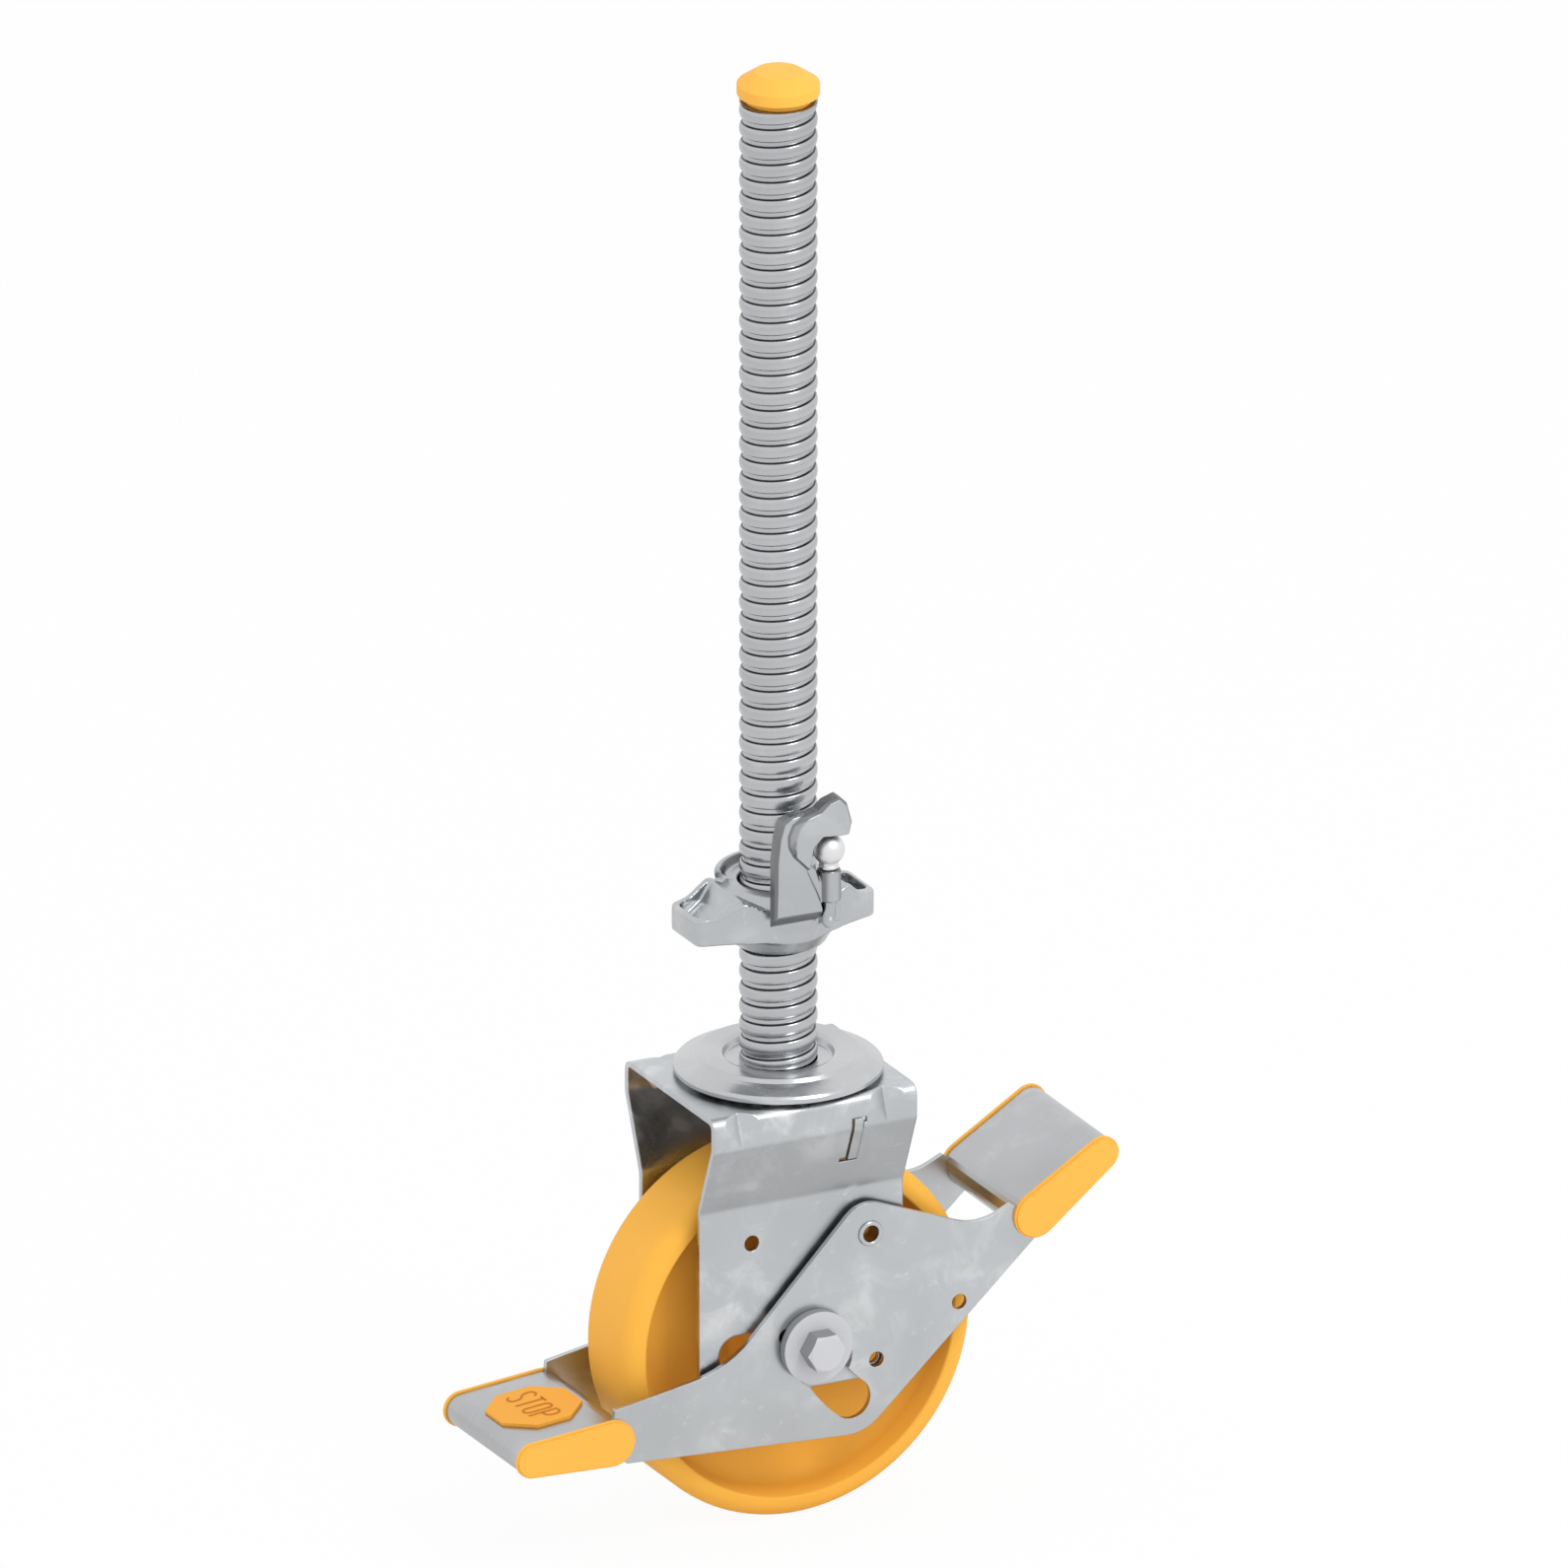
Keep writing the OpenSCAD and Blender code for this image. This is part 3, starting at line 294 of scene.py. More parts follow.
def piece_from_lists(name, points, faces, finish, body, stands_for=(), sharp=40):
    """A piece from points in millimetres and faces, smooth except at edges sharper than the angle."""
    mesh = bpy.data.meshes.new(name)
    mesh.from_pydata(points, [], faces)
    shape = bmesh.new()
    shape.from_mesh(mesh)
    bmesh.ops.remove_doubles(shape, verts=shape.verts, dist=1e-4)
    bmesh.ops.recalc_face_normals(shape, faces=shape.faces)
    shape.to_mesh(mesh)
    shape.free()
    mesh.transform(Matrix.Scale(0.001, 4))
    mesh.materials.append(finish)
    mesh.polygons.foreach_set("use_smooth", [True] * len(mesh.polygons))
    mesh.set_sharp_from_angle(angle=math.radians(sharp))
    piece = bpy.data.objects.new(name, mesh)
    scene.collection.objects.link(piece)
    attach(piece, body)
    if stands_for:
        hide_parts(*stands_for)
    return piece


def round_corners(corners, closed=False, steps=5):
    """The points of a path whose corners (x, y, radius) are rounded with arcs."""
    path = []
    count = len(corners)
    for i, (x, y, radius) in enumerate(corners):
        here = Vector((x, y))
        if radius == 0 or (not closed and i in (0, count - 1)):
            path.append(here)
            continue
        before = (Vector(corners[i - 1][:2]) - here).normalized()
        after = (Vector(corners[(i + 1) % count][:2]) - here).normalized()
        half = before.angle(after) / 2
        start = here + before * (radius / math.tan(half))
        end = here + after * (radius / math.tan(half))
        middle = here + (before + after).normalized() * (radius / math.sin(half))
        sweep = (start - middle).angle_signed(end - middle)
        for step in range(steps + 1):
            turn = Matrix.Rotation(-sweep * step / steps, 2)
            path.append(middle + turn @ (start - middle))
    return path


flank_foot = 0.0181
flank_top = 0.0195


def thread_flank_shade(tree):
    """1 on the thread's flanks, 0 in the groove's floor and on the crests, by the distance from the axis."""
    place = add_node(tree, "ShaderNodeTexCoord").outputs["Object"]
    parts = add_node(tree, "ShaderNodeSeparateXYZ", Vector=place)
    flat = add_node(tree, "ShaderNodeCombineXYZ", X=parts.outputs[0], Y=parts.outputs[1])
    radius = add_node(tree, "ShaderNodeVectorMath", {"operation": "LENGTH"},
                      i0=flat.outputs[0]).outputs["Value"]
    above = band(tree, radius, flank_foot - 0.0002, flank_foot + 0.0003)
    below = maths(tree, "SUBTRACT", 1.0, band(tree, radius, flank_top - 0.0006, flank_top))
    return maths(tree, "MULTIPLY", above, below)


# The thread's flanks get painted shade, nearly black, for the shadow and dark reflection in each groove.
spindle_zinc = zinc_material("spindle_zinc", tone=(0.50, 0.51, 0.525), pale=(0.66, 0.67, 0.68), bloom=0.35,
                             rubs=0.25, shine=0.24, unevenness=0.0001, shaded=thread_flank_shade,
                             shade_share=0.9, shade_tone=(0.03, 0.032, 0.034))

groove_floor = 2.0
floor_rounding = 0.4
shoulder_inset = 1.1
shoulder_drop = 0.7
shoulder_rounding = 1.3
crown_rise = 0.2
crown_rounding = 7
floor_end = (thread_pitch - groove_floor) / 2
shoulder_end = crest_width / 2 - shoulder_inset
shoulder_radius = crest_radius - shoulder_drop
thread_corners = [
    (groove_radius, -thread_pitch / 2, 0),
    (groove_radius, -floor_end, floor_rounding),
    (shoulder_radius, -shoulder_end, shoulder_rounding),
    (crest_radius + crown_rise, 0, crown_rounding),
    (shoulder_radius, shoulder_end, shoulder_rounding),
    (groove_radius, floor_end, floor_rounding),
    (groove_radius, thread_pitch / 2, 0),
]
thread_section = round_corners(thread_corners)
first_crest = known_crest_height - thread_pitch * math.ceil(known_crest_height / thread_pitch + 1)
thread_turns = math.ceil((spindle_length - first_crest) / thread_pitch) + 1
thread_points = []
thread_faces = []
row = len(thread_section)
for step in range(thread_turns * steps_per_turn + 1):
    angle = 2 * math.pi * step / steps_per_turn + known_crest_angle
    rise = first_crest + thread_pitch * step / steps_per_turn
    for radius, height in thread_section:
        z = min(max(rise + height, 0), spindle_length)
        thread_points.append((radius * math.cos(angle), radius * math.sin(angle), z))
    if step:
        at = step * row
        thread_faces += [(at - row + j, at + j, at + j + 1, at - row + j + 1) for j in range(row - 1)]
piece_from_lists("threaded_spindle", thread_points, thread_faces, spindle_zinc, "spindle_body", ["spindle"],
                 sharp=80)

# Spindle cap: a turned-over plug of yellow plastic, pressed into the open end of the tube.
# Its rim stands a little above the last thread, with a shaded gap under it.
plug_radius = 12.9
plug_foot = 506.0
cap_neck_radius = 17.2
cap_radius = 21.4
cap_foot = 529.4
cap_shoulder = 535.6
cap_flat_radius = 12.2
cap_top = 542.4
cap_crown = 0.5
cap_profile = [(plug_radius, plug_foot, 0), (plug_radius, spindle_length, 0),
               (cap_neck_radius, spindle_length, 0), (cap_neck_radius, cap_foot, 0),
               (cap_radius, cap_foot, 0.8), (cap_radius, cap_shoulder, 0.9),
               (cap_flat_radius, cap_top - cap_crown, 1.5), (0, cap_top, 0)]


def turned(corners, around=64, steps=5, closed=False, place=None):
    """Points and faces of a body of revolution from a profile of (radius, height, rounding)."""
    path = round_corners(corners, closed, steps)
    turns = [2 * math.pi * i / around for i in range(around)]
    points = [Vector((p.x * math.cos(turn), p.x * math.sin(turn), p.y)) for turn in turns for p in path]
    count = len(path)
    faces = []
    for i in range(around):
        low, high = i * count, (i + 1) % around * count
        for j in range(count if closed else count - 1):
            k = (j + 1) % count
            faces.append((low + j, high + j, high + k, low + k))
    if place:
        points = [place @ point for point in points]
    return points, faces


def joined(*bodies):
    """Several bodies of points and faces in one."""
    points, faces = [], []
    for more_points, more_faces in bodies:
        faces += [tuple(i + len(points) for i in face) for face in more_faces]
        points += more_points
    return points, faces


def moulded_skin_group():
    """Moulded plastic: faint mottling of the colour and a fine orange-peel surface."""
    tree, given, made = group_tree("moulded_skin", [
        ("Tone", "NodeSocketColor", (0.9, 0.45, 0.08, 1)),
        ("Mottling", "NodeSocketFloat", 0.06),
        ("Shine", "NodeSocketFloat", 0.4),
    ], [("Color", "NodeSocketColor"), ("Roughness", "NodeSocketFloat"), ("Height", "NodeSocketFloat")])
    place = add_node(tree, "ShaderNodeTexCoord").outputs["Object"]
    mottle = add_node(tree, "ShaderNodeTexNoise", Vector=place, Scale=26.0, Detail=4.0).outputs[0]
    grain = add_node(tree, "ShaderNodeTexNoise", Vector=place, Scale=700.0, Detail=2.0).outputs[0]
    lift = maths(tree, "MULTIPLY", maths(tree, "SUBTRACT", mottle, 0.5), given.outputs["Mottling"])
    colour = blend_colours(tree, 1.0, given.outputs["Tone"], maths(tree, "ADD", 1.0, lift), "MULTIPLY")
    tree.links.new(colour, made.inputs["Color"])
    rough = maths(tree, "MULTIPLY", maths(tree, "SUBTRACT", mottle, 0.5), 0.25)
    tree.links.new(maths(tree, "ADD", given.outputs["Shine"], rough), made.inputs["Roughness"])
    tree.links.new(grain, made.inputs["Height"])
    return tree


moulded_skin = moulded_skin_group()


def plastic_material(name, tone, mottling, shine, grain):
    """Moulded plastic, with the skin group's colour, roughness and relief."""
    material = bpy.data.materials.new(name)
    material.use_nodes = True
    tree = material.node_tree
    surface = tree.nodes["Principled BSDF"]
    surface.inputs["Specular IOR Level"].default_value = 0.2
    skin = tree.nodes.new("ShaderNodeGroup")
    skin.node_tree = moulded_skin
    skin.inputs["Tone"].default_value = (*tone, 1)
    skin.inputs["Mottling"].default_value = mottling
    skin.inputs["Shine"].default_value = shine
    tree.links.new(skin.outputs["Color"], surface.inputs["Base Color"])
    tree.links.new(skin.outputs["Roughness"], surface.inputs["Roughness"])
    relief = add_node(tree, "ShaderNodeBump", Strength=0.2, Distance=grain, Height=skin.outputs["Height"])
    tree.links.new(relief.outputs[0], surface.inputs["Normal"])
    return material


cap_plastic = plastic_material("cap_plastic", tone=(0.98, 0.50, 0.075), mottling=0.06, shine=0.5,
                               grain=0.0001)
piece_from_lists("spindle_plug", *turned(cap_profile), cap_plastic, "spindle_body", ["spindle_cap"], sharp=35)

# Swivel disc: sheet steel pressed in two steps, which holds the ball track and keeps dirt out.
# Its edge is rolled under and stands just clear of the fork.
disc_bore = 10.1
disc_radius = 53.9
disc_sheet = 3.0
track_height = 4.0
disc_lip = -5.4
disc_top = [(disc_bore, 0, 0), (27.6, 0, 0.8), (28.8, 3.1, 0.9), (31.5, track_height, 1),
            (41.6, track_height, 0.7), (43.4, 1.9, 0.8), (46, 1.2, 1.2), (52.7, -1.6, 1.6),
            (disc_radius, -disc_sheet, 0.7), (disc_radius, disc_lip, 0.4)]
disc_underside = [(52.6, -5.5, 0.3), (45.5, -1.5, 2), (42, -0.4, 1), (32, -0.4, 1), (29.5, -0.8, 1),
                  (27, -disc_sheet, 0.6), (disc_bore, -disc_sheet, 0)]
disc_zinc = zinc_material("disc_zinc", tone=(0.54, 0.55, 0.565), pale=(0.70, 0.71, 0.72), bloom=0.35,
                          rubs=0.25, shine=0.22, unevenness=0.00008)
piece_from_lists("pressed_disc", *turned(disc_top + disc_underside, around=128, steps=4), disc_zinc,
                 "spindle_body", ["swivel_disc"])

# Fork and brake plate: 3 mm sheet pressed into a U with soft folds and two gussets a side, then galvanised.
# The plate lies across the fork and is held in two hooked slits.
# The facing away mask sets where shade is painted into the colour of the fork's sheet, the bolt and the claw.
def facing_away_group():
    """How far the surface turns away from a direction, or from both ends of it, as a mask."""
    tree, given, made = group_tree("facing_away", [
        ("Direction", "NodeSocketVector", (0, 0, 1)),
        ("Both Ends", "NodeSocketFloat", 0.0),
        ("Away", "NodeSocketFloat", 0.0),
        ("Facing", "NodeSocketFloat", 1.0),
    ], [("Mask", "NodeSocketFloat")])
    facing = add_node(tree, "ShaderNodeTexCoord").outputs["Normal"]
    along = add_node(tree, "ShaderNodeVectorMath", {"operation": "DOT_PRODUCT"}, i0=facing,
                     i1=given.outputs["Direction"]).outputs["Value"]
    folded = maths(tree, "SUBTRACT", maths(tree, "ABSOLUTE", along, 0.0), along)
    along = maths(tree, "ADD", along, maths(tree, "MULTIPLY", folded, given.outputs["Both Ends"]))
    toward = band(tree, along, given.outputs["Away"], given.outputs["Facing"])
    tree.links.new(maths(tree, "SUBTRACT", 1.0, toward), made.inputs["Mask"])
    return tree


facing_away = facing_away_group()


def away_from(tree, direction, both_ends, away, facing):
    """The facing away group's mask in a material, with its own values."""
    node = add_node(tree, "ShaderNodeGroup", {"node_tree": facing_away}, Direction=direction,
                    Both_Ends=both_ends, Away=away, Facing=facing)
    return node.outputs["Mask"]


def underside_shade(tree):
    """1 where the sheet faces down, as the band under the fork's upper fold does."""
    return away_from(tree, direction=(0, 0, 1), both_ends=0, away=-0.45, facing=-0.05)


# The sheet's downward faces get painted shade, a fifth of the way to the dark shade tone.
sheet_zinc = zinc_material("sheet_zinc", tone=(0.52, 0.54, 0.555), pale=(0.82, 0.83, 0.84), bloom=0.7,
                           rubs=0.45, shine=0.30, unevenness=0.0002, soft_edge=0.0014,
                           shaded=underside_shade, shade_share=0.2)


def finish_solid(node, finish, edge=0.3, angle=35):
    """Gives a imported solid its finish, and breaks its edges by a width in millimetres."""
    solid = solids[node]
    solid.data.materials.clear()
    solid.data.materials.append(finish)
    solid.data.polygons.foreach_set("use_smooth", [True] * len(solid.data.polygons))
    solid.data.set_sharp_from_angle(angle=math.radians(angle))
    if edge:
        bevel = solid.modifiers.new("broken_edge", "BEVEL")
        bevel.width = edge / 1000
        bevel.segments = 2
        bevel.limit_method = "ANGLE"
        bevel.angle_limit = math.radians(angle)
        bevel.harden_normals = True


for node in ("fork", "brake_plate"):
    finish_solid(node, sheet_zinc, edge=0.2, angle=20)

# Bearings: hardened balls in their tracks, the kingpin that carries the swivel, its cup and nut.
# The pin is turned steel, pressed into the spindle's foot, and its nut holds both rings of balls together.
turned_steel = zinc_material("turned_steel", tone=(0.35, 0.35, 0.36), pale=(0.5, 0.5, 0.5), bloom=0.2,
                             rubs=0.3, shine=0.35, unevenness=0.0001)
ball_steel = zinc_material("ball_steel", tone=(0.80, 0.80, 0.81), pale=(0.88, 0.88, 0.89), bloom=0.3,
                           rubs=0.05, shine=0.45, unevenness=0.00005)
for node in ("kingpin", "lower_race", "kingpin_nut"):
    finish_solid(node, turned_steel, edge=0.2)
for node in ("upper_balls", "lower_balls"):
    finish_solid(node, ball_steel, edge=0)

# Pivot rivets: short steel tubes rolled over at both ends, which the lever turns on.
# Each runs through a spacer ring between the fork's leg and the lever plate.
pivot_across = 32.5
pivot_height = -89.0
on_its_side = Matrix.Rotation(math.radians(90), 4, "X")
pivot_place = Matrix.Translation((pivot_across, 0, pivot_height)) @ on_its_side
rivet_bore = 4.4
rivet_radius = 5.6
rivet_head_radius = 6.9
leg_inside = 31.1
plate_outside = 40.1
inner_head = 29.9
outer_head = 41.5
rivet_zinc = zinc_material("rivet_zinc", tone=(0.55, 0.56, 0.57), pale=(0.72, 0.73, 0.74), bloom=0.2,
                           rubs=0.2, shine=0.26, unevenness=0.0001)


def rivet_profile(side):
    """A rolled tube on one side of the fork, with heads inside the leg and outside the lever plate."""
    corners = [(rivet_bore, inner_head, 0.4), (rivet_head_radius, inner_head, 0.6),
               (rivet_head_radius, leg_inside, 0), (rivet_radius, leg_inside, 0),
               (rivet_radius, plate_outside, 0), (rivet_head_radius, plate_outside, 0.3),
               (rivet_head_radius, outer_head, 1.3),
               (rivet_bore - 0.8, outer_head, 1.3), (rivet_bore, outer_head - 2, 0.5)]
    return [(radius, reach * side, rounding) for radius, reach, rounding in corners]


rivets = [turned(rivet_profile(side), around=48, closed=True, place=pivot_place) for side in (1, -1)]
piece_from_lists("rolled_rivets", *joined(*rivets), rivet_zinc, "fork_body", ["pivot_rivets"])
finish_solid("pivot_spacers", turned_steel, edge=0.2)

# Brake lever: two plates cut from thick sheet, joined by a hollow treadle at each end, all galvanised.
# The plates turn on the rivets, and the curved slot in each pushes the axle along the fork.
lever_zinc = zinc_material("lever_zinc", tone=(0.54, 0.56, 0.575), pale=(0.80, 0.81, 0.82), bloom=0.7,
                           rubs=0.45, shine=0.32, unevenness=0.0002, soft_edge=0.0005)
for node in ("lever_plate_near", "lever_plate_far"):
    finish_solid(node, lever_zinc)
treadle_zinc = zinc_material("treadle_zinc", tone=(0.48, 0.49, 0.505), pale=(0.74, 0.75, 0.76), bloom=0.35,
                             rubs=0.3, shine=0.3, unevenness=0.0003)
for node in ("stop_treadle", "release_treadle"):
    finish_solid(node, treadle_zinc)

# End caps and badge: yellow plastic pushed into the treadles' ends and pegged to the upper face.
# The badge is an octagon with the word STOP standing on it in thin raised lines.
for node in ("stop_cap_near", "stop_cap_far", "release_cap_near", "release_cap_far"):
    finish_solid(node, cap_plastic, edge=0.9, angle=30)
badge_plastic = plastic_material("badge_plastic", tone=(0.88, 0.40, 0.045), mottling=0.06, shine=0.6,
                                 grain=0.0001)
finish_solid("stop_badge", badge_plastic, edge=0.4, angle=30)

letter_height = 16.0
letter_width = 5.6
letter_gap = 3.3
letter_line = 1.0
letter_foot = 1.4
letter_top = 1.95


def arc_points(x, y, rx, ry, start, end, steps=10):
    """Points on an arc between two angles in degrees."""
    angles = [math.radians(start + (end - start) * i / steps) for i in range(steps + 1)]
    return [(x + rx * math.cos(a), y + ry * math.sin(a)) for a in angles]


def raised_line(path, width, base, height, place):
    """A raised line of one width along a flat path."""
    points, faces = [], []
    for i, (x, y) in enumerate(path):
        before = Vector(path[max(i - 1, 0)])
        after = Vector(path[min(i + 1, len(path) - 1)])
        along = (after - before).normalized()
        side = Vector((-along.y, along.x)) * width / 2
        for sign, z in ((-1, base), (-1, height), (1, height), (1, base)):
            points.append(place @ Vector((x + sign * side.x, y + sign * side.y, z)))
        if i:
            at = i * 4
            faces += [(at - 4 + j, at + j, at + (j + 1) % 4, at - 4 + (j + 1) % 4) for j in range(4)]
    last = len(points) - 4
    return points, faces + [(3, 2, 1, 0), (last, last + 1, last + 2, last + 3)]


def letter_paths():
    """The strokes of S, T, O and P, each from its own left foot."""
    w, h = letter_width, letter_height
    r = w / 2
    s_path = (arc_points(r, h - r, r, r, 20, 180, 8)
              + [(0.15 * r, 0.64 * h), (0.45 * r, 0.57 * h), (r, 0.5 * h), (1.55 * r, 0.43 * h),
                 (1.85 * r, 0.36 * h)] + arc_points(r, r, r, r, 0, -160, 8))
    t_path = [[(0, h), (w, h)], [(r, h), (r, 0)]]
    o_path = (arc_points(r, h - r, r, r, 0, 180, 10) + arc_points(r, r, r, r, 180, 360, 10) + [(w, h - r)])
    p_path = [(0, 0), (0, h), (r, h)] + arc_points(r, h * 0.74, r, h * 0.26, 90, -90, 10) + [(0, h * 0.48)]
    return [[s_path], t_path, [o_path], [p_path]]


treadle_corner = (-115.75, 0, -177.5)
treadle_lean = math.radians(5.24)
badge_centre = (-23.6, 0, 11.5)
badge_place = (Matrix.Translation(treadle_corner) @ Matrix.Rotation(-treadle_lean, 4, "Y")
               @ Matrix.Translation(badge_centre) @ Matrix.Rotation(math.radians(-90), 4, "Z"))
letter_lines = []
for i, paths in enumerate(letter_paths()):
    left = (i - 2) * (letter_width + letter_gap) + letter_gap / 2
    for path in paths:
        shifted = [(x + left, y - letter_height / 2) for x, y in path]
        letter_lines.append(raised_line(shifted, letter_line, letter_foot, letter_top, badge_place))
# The letters' dark brown colour is painted shade, standing in for the shade along raised yellow letters.
letter_shade_plastic = plastic_material("letter_shade_plastic", tone=(0.50, 0.19, 0.02), mottling=0.05, shine=0.6,
                                  grain=0.0001)
piece_from_lists("badge_letters", *joined(*letter_lines), letter_shade_plastic, "lever_body", sharp=35)

# Axle: a steel tube that slides in the fork's slots, with a plated hexagon bolt, a locknut and thick washers.
# The bolt clamps the washers to the tube's ends, and the lever plates run between washers and fork.
axle_height = -144.0
axle_place = Matrix.Translation((0, 0, axle_height)) @ on_its_side


def bolt_side_shade(tree):
    """1 on the flats and rims, 0 on the faces that look along the axle."""
    return away_from(tree, direction=(0, 1, 0), both_ends=1, away=0.35, facing=0.8)


# Painted shade: the bolt's flats and rims are mixed part way to the dark shade tone, darker than its end
# faces.
bolt_zinc = zinc_material("bolt_zinc", tone=(0.60, 0.605, 0.635), pale=(0.70, 0.705, 0.73), bloom=0.2,
                          rubs=0.1, shine=0.6, unevenness=0.0001, metal=0.1, soft_edge=0.0004,
                          shaded=bolt_side_shade, shade_share=0.6)
finish_solid("axle_tube", turned_steel, edge=0.2)
finish_solid("axle_nut", bolt_zinc)
finish_solid("axle_washers", bolt_zinc, edge=0.5)
bolt_flats = 19.0
bolt_chamfer_radius = 8.9
bolt_chamfer = math.radians(32)
bolt_face = 56.1
bolt_seat = 45.6
bolt_shank_radius = 6.0
bolt_tip = -58.6
bolt_tip_chamfer = 1.0
bolt_points = []
bolt_faces = []
bolt_around = 72
for i in range(bolt_around):
    turn = 2 * math.pi * i / bolt_around
    from_flat = (turn + math.pi / 6) % (math.pi / 3) - math.pi / 6
    reach = bolt_flats / 2 / math.cos(from_flat)
    fall = (reach - bolt_chamfer_radius) * math.tan(bolt_chamfer)
    profile = [(0, bolt_face), (bolt_chamfer_radius, bolt_face), (reach, bolt_face - fall),
               (reach, bolt_seat), (bolt_shank_radius, bolt_seat),
               (bolt_shank_radius, bolt_tip + bolt_tip_chamfer),
               (bolt_shank_radius - bolt_tip_chamfer, bolt_tip), (0, bolt_tip)]
    for radius, height in profile:
        bolt_points.append(axle_place @ Vector((radius * math.sin(turn), radius * math.cos(turn), height)))
    here = i * len(profile)
    beside = (i + 1) % bolt_around * len(profile)
    for j in range(len(profile) - 1):
        bolt_faces.append((here + j, beside + j, beside + j + 1, here + j + 1))
piece_from_lists("hexagon_bolt", bolt_points, bolt_faces, bolt_zinc, "axle_body", ["axle_bolt"], sharp=20)

# Wheel: one moulding of yellow polyamide with a rounded tread, a deep recess each side and a plain hub.
# Two flanged bushes are pressed into the hub.
wheel_radius = 100
wheel_half_width = 25
rim_inside = 88.4
rim_foot = 84.3
web_half_width = 7.5
hub_radius = 27
hub_foot = 31
hub_half_width = 28.5
hub_bore = 12.8
wheel_half = [(hub_bore, hub_half_width, 0), (hub_radius, hub_half_width, 1.5), (hub_foot, web_half_width, 5),
              (rim_foot, web_half_width, 9), (rim_inside, wheel_half_width, 1.4),
              (wheel_radius, wheel_half_width, 9)]
wheel_profile = [(radius, -side, rounding) for radius, side, rounding in wheel_half] + wheel_half[::-1]
wheel_plastic = plastic_material("wheel_plastic", tone=(0.98, 0.49, 0.065), mottling=0.06, shine=0.55,
                                 grain=0.0001)
piece_from_lists("moulded_wheel", *turned(wheel_profile, around=144, steps=8, closed=True, place=axle_place),
                 wheel_plastic, "wheel_body", ["wheel"], sharp=35)
finish_solid("wheel_bushes", turned_steel, edge=0.2)

# Adjusting nut: an iron casting with soft edges, threaded inside and galvanised rough.
# It is turned by its two hollow wings. The scaffold tube stands on its seat, inside the collar.
cast_tone = (0.50, 0.515, 0.53)
cast_pale = (0.76, 0.77, 0.78)


def nut_hollow_shade(tree):
    """1 where the surface faces the spindle, as inside the collar and the wings, 0 where it faces away."""
    source = add_node(tree, "ShaderNodeTexCoord")
    level = add_node(tree, "ShaderNodeVectorMath", {"operation": "MULTIPLY"}, i0=source.outputs["Object"],
                     i1=(-1, -1, 0)).outputs[0]
    inward = add_node(tree, "ShaderNodeVectorMath", {"operation": "NORMALIZE"}, i0=level).outputs[0]
    facing = add_node(tree, "ShaderNodeVectorMath", {"operation": "DOT_PRODUCT"}, i0=inward,
                      i1=source.outputs["Normal"]).outputs["Value"]
    return band(tree, facing, 0.25, 0.75)


# Painted shade: surfaces facing the spindle, inside the collar and the wings, are mixed toward the dark shade
# tone.
nut_zinc = zinc_material("nut_zinc", tone=cast_tone, pale=cast_pale, bloom=0.5, rubs=0.3, shine=0.28,
                         unevenness=0.00008, shaded=nut_hollow_shade, shade_share=0.75)


def cast_skin(piece, grain, passes):
    """Softens a piece as a casting is, on a grain in millimetres."""
    skin = piece.modifiers.new("cast_skin", "REMESH")
    skin.mode = "VOXEL"
    skin.voxel_size = grain / 1000
    skin.use_smooth_shade = True
    soften = piece.modifiers.new("soften", "SMOOTH")
    soften.factor = 0.5
    soften.iterations = passes


nut_foot = 65.0
nut_place = Matrix.Translation((0, 0, nut_foot))
swelling_profile = [(21.6, 22, 0), (21.6, 33, 0.5), (26.6, 33.2, 3), (29.9, 27, 4), (30.1, 18, 6),
                    (27.6, 9, 4), (24.6, 8, 0)]

# The hub's swelling is joined to the nut's own solid, and runs out into both wings.
nut_solid = solids["adjusting_nut"]
nut_points = [nut_solid.matrix_world @ vertex.co * 1000 for vertex in nut_solid.data.vertices]
nut_faces = [tuple(face.vertices) for face in nut_solid.data.polygons]
hub_swelling = turned(swelling_profile, around=96, closed=True, place=nut_place)
nut = piece_from_lists("cast_nut", *joined((nut_points, nut_faces), hub_swelling), nut_zinc, "nut_body",
                       ["adjusting_nut"])
cast_skin(nut, grain=0.65, passes=24)

# Locking claw: an iron casting with a flat rib, slanted flanks and a hooked finger, galvanised like the nut.
# It swings on the stud by the knuckle at its right.
def claw_side_shade(tree):
    """1 on the bevels and flanks, 0 on the flat front faces."""
    return away_from(tree, direction=(0, 1, 0), both_ends=1, away=0.7, facing=0.97)


# Painted shade: the claw's bevels and flanks are mixed toward the dark shade tone, darker than its flat
# fronts.
claw_zinc = zinc_material("claw_zinc", tone=cast_tone, pale=cast_pale, bloom=0.5, rubs=0.3, shine=0.3,
                          unevenness=0.00008, shaded=claw_side_shade, shade_share=0.62)
stud_place = Matrix.Translation((11.6, -34, nut_foot))


def slab(*outlines):
    """A solid through outlines that lie one behind the other, each a y and points above the nut's foot."""
    count = len(outlines[0][1])
    points = [nut_place @ Vector((x, y, z)) for y, outline in outlines for x, z in outline]
    faces = [tuple(range(count - 1, -1, -1)), tuple(range(len(points) - count, len(points)))]
    for level in range(len(outlines) - 1):
        low, high = level * count, (level + 1) * count
        for j in range(count):
            k = (j + 1) % count
            faces.append((low + j, low + k, high + k, high + j))
    return points, faces


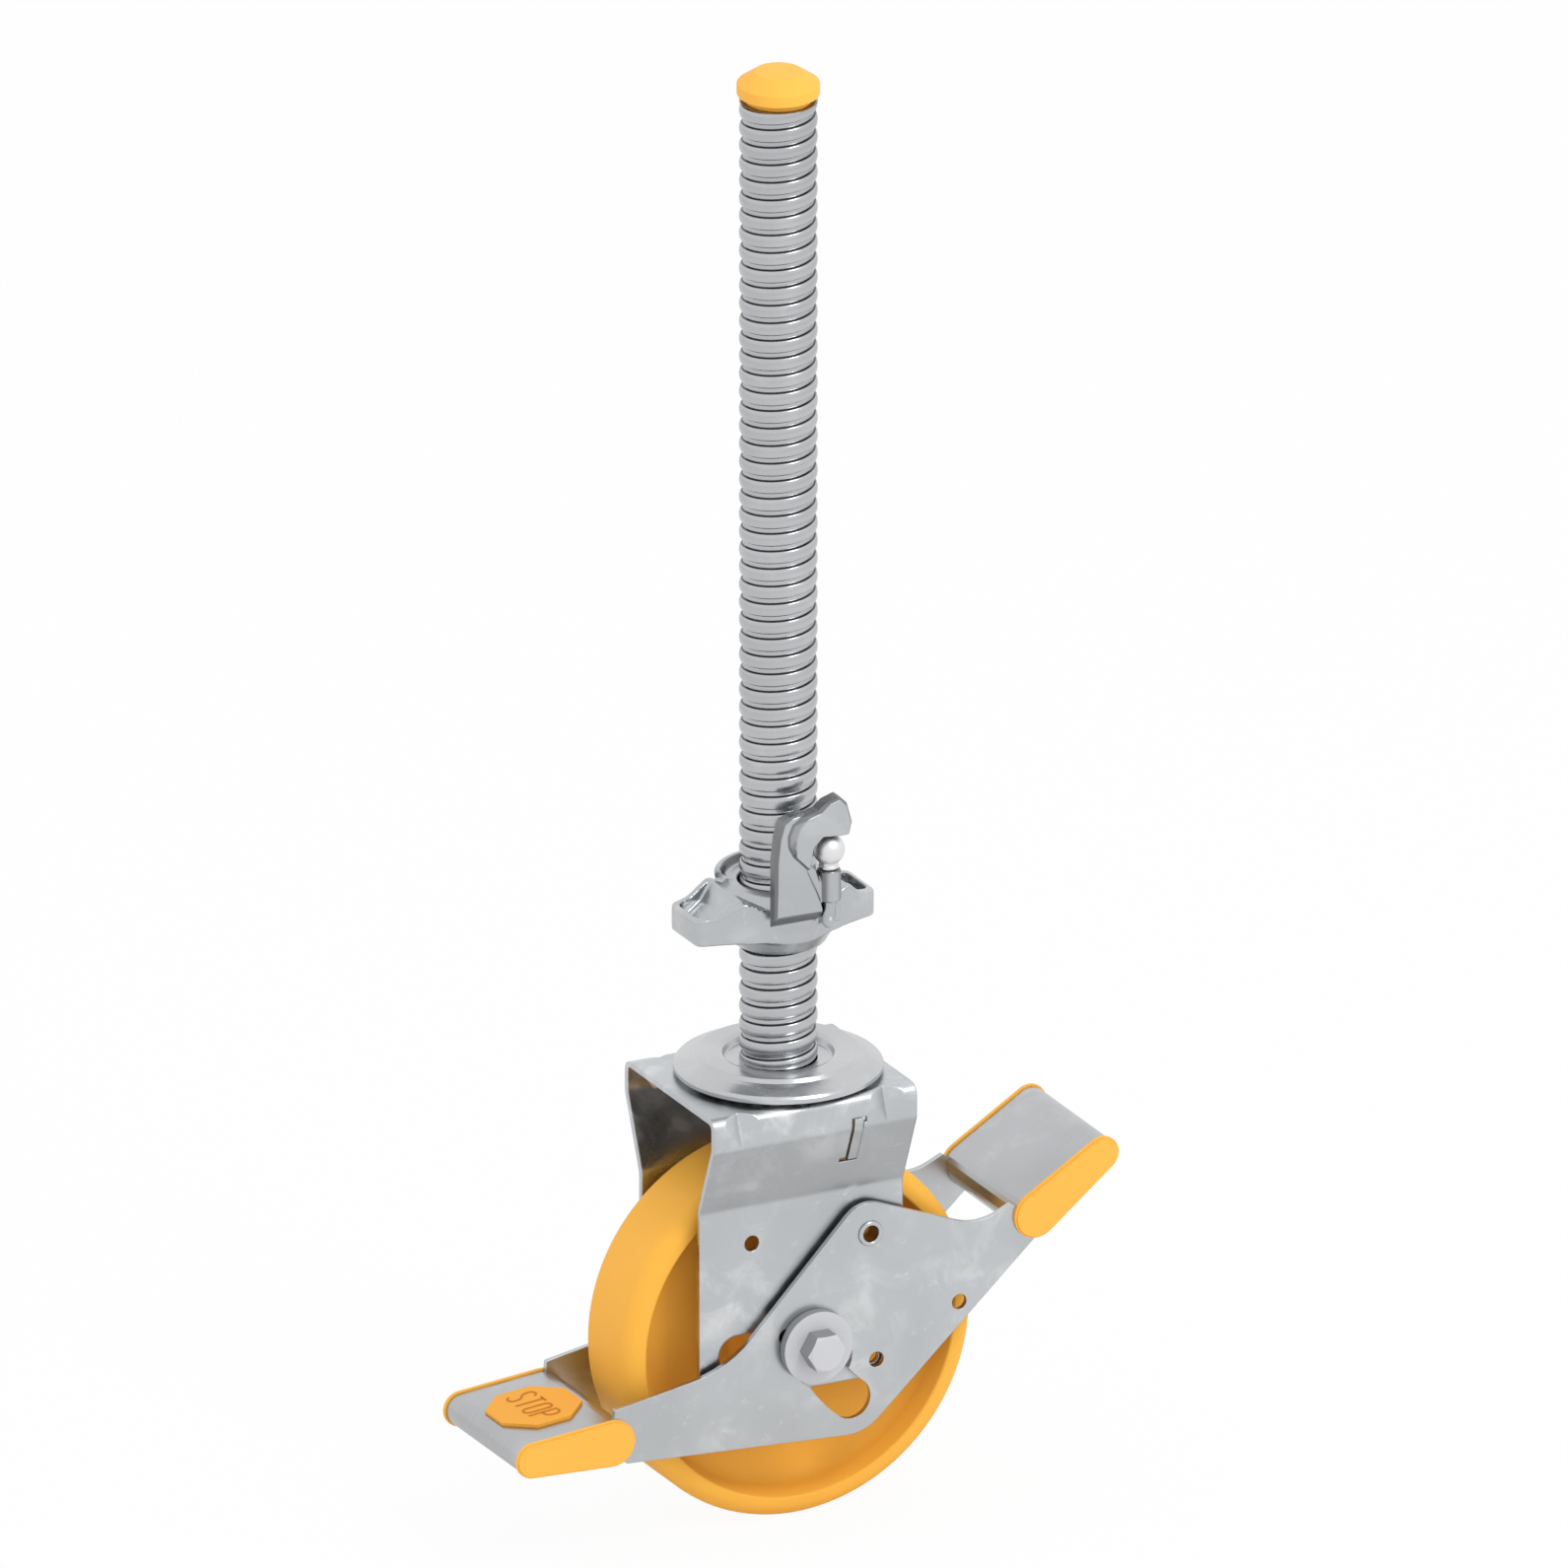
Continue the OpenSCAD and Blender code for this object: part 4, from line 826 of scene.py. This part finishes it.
rib_front = [(-19.4, 27.8), (6.7, 27.1), (3.5, 36), (-1.5, 47), (-8.5, 61.3), (-9.4, 67), (-8.2, 73),
             (-4.6, 79), (-4.8, 81.5), (-11, 80), (-15, 77.3), (-17.2, 70.3), (-18.6, 57.3)]
rib_edge = [(-20.5, 25.4), (7, 25.0), (5, 36), (0.5, 47), (-5.5, 61.3), (-7, 67), (-6, 73), (-3, 79),
            (-4.2, 82.6), (-11.5, 81.2), (-16.2, 78.6), (-18.5, 70.6), (-20.2, 57.3)]
rib_back = [(-20.5, 20.4), (7, 20.0), (6, 36), (1.5, 47), (-4, 61.3), (-6, 67), (-5, 73), (-2, 79),
            (-3.7, 83), (-11.9, 81.6), (-16.6, 79), (-19.0, 70.8), (-20.5, 57.3)]
finger_front = [(-10.3, 60.5), (-2.4, 52.4), (-1.4, 57.5), (-0.4, 63.9), (5, 69), (15, 68), (19.6, 68),
                (21, 73.9), (18.4, 83.8), (14.6, 87.8), (8.8, 86.2), (4, 82), (-3, 80), (-7.6, 75.6),
                (-9.6, 70.5), (-10.2, 65)]
finger_edge = [(-10.6, 60.2), (-2, 51.2), (-1, 57.5), (0, 63.7), (5.2, 68.4), (15.2, 67.4), (21, 67.4),
               (22.6, 73.9), (19.7, 84.8), (15.2, 89.2), (8, 87), (3, 83), (-5, 81.2), (-10.8, 77.4),
               (-13.4, 71.5), (-13.2, 65.5)]
flank_front = [(-2, 32), (7, 32), (6, 40), (4.2, 46), (3, 50), (-3, 56)]
flank_back = [(-4, 31.6), (11.6, 31.6), (11.6, 43.8), (6, 45), (4, 50.2), (-3.5, 56.5)]
knuckle_bore = 3.6
knuckle_radius = 6.3
knuckle_foot = 31.5
knuckle_top = 48.6
knuckle_profile = [(knuckle_bore, knuckle_foot, 0), (knuckle_radius, knuckle_foot, 0.8),
                   (knuckle_radius, knuckle_top, 1.2), (knuckle_bore, knuckle_top, 0)]
rib = slab((-37.6, rib_front), (-35.8, rib_edge), (-30.5, rib_back))
finger = slab((-41.0, finger_front), (-38.6, finger_edge), (-31.5, finger_edge))
flank = slab((-36.8, flank_front), (-31.2, flank_back))
knuckle = turned(knuckle_profile, around=40, steps=4, closed=True, place=stud_place)
claw = piece_from_lists("cast_claw", *joined(rib, finger, flank, knuckle), claw_zinc, "claw_body",
                        ["locking_claw"])
cast_skin(claw, grain=0.45, passes=7)

# Stud: a turned steel pin with a ball head, bright plated, that holds the claw on the nut's front lug.
# The claw's knuckle turns on the pin, below the ball.
knob_height = 59.0
knob_radius = 8.3
neck_radius = 4.9
tail_radius = 2.5
tail_foot = 20.6
pin_radius = 3.3
pin_foot = 31.4
collar_radius = 5.2
collar_foot = 49.1
collar_top = 50.4
knob_steps = 20
knob_start = math.asin(neck_radius / knob_radius)
knob_angles = [knob_start + (math.pi - knob_start) * i / knob_steps for i in range(knob_steps + 1)]
knob_arc = [(knob_radius * math.sin(angle), knob_height - knob_radius * math.cos(angle), 0)
            for angle in knob_angles]
stud_profile = [(0, tail_foot, 0), (tail_radius, tail_foot, 0), (tail_radius, pin_foot, 0),
                (pin_radius, pin_foot, 0), (pin_radius, collar_foot, 0), (collar_radius, collar_foot, 0.4),
                (collar_radius, collar_top, 0.3), (neck_radius, collar_top + 0.5, 0.3)]
piece_from_lists("ball_stud", *turned(stud_profile + knob_arc, around=56, steps=4, place=stud_place),
                 ball_steel, "nut_body", ["claw_stud"])
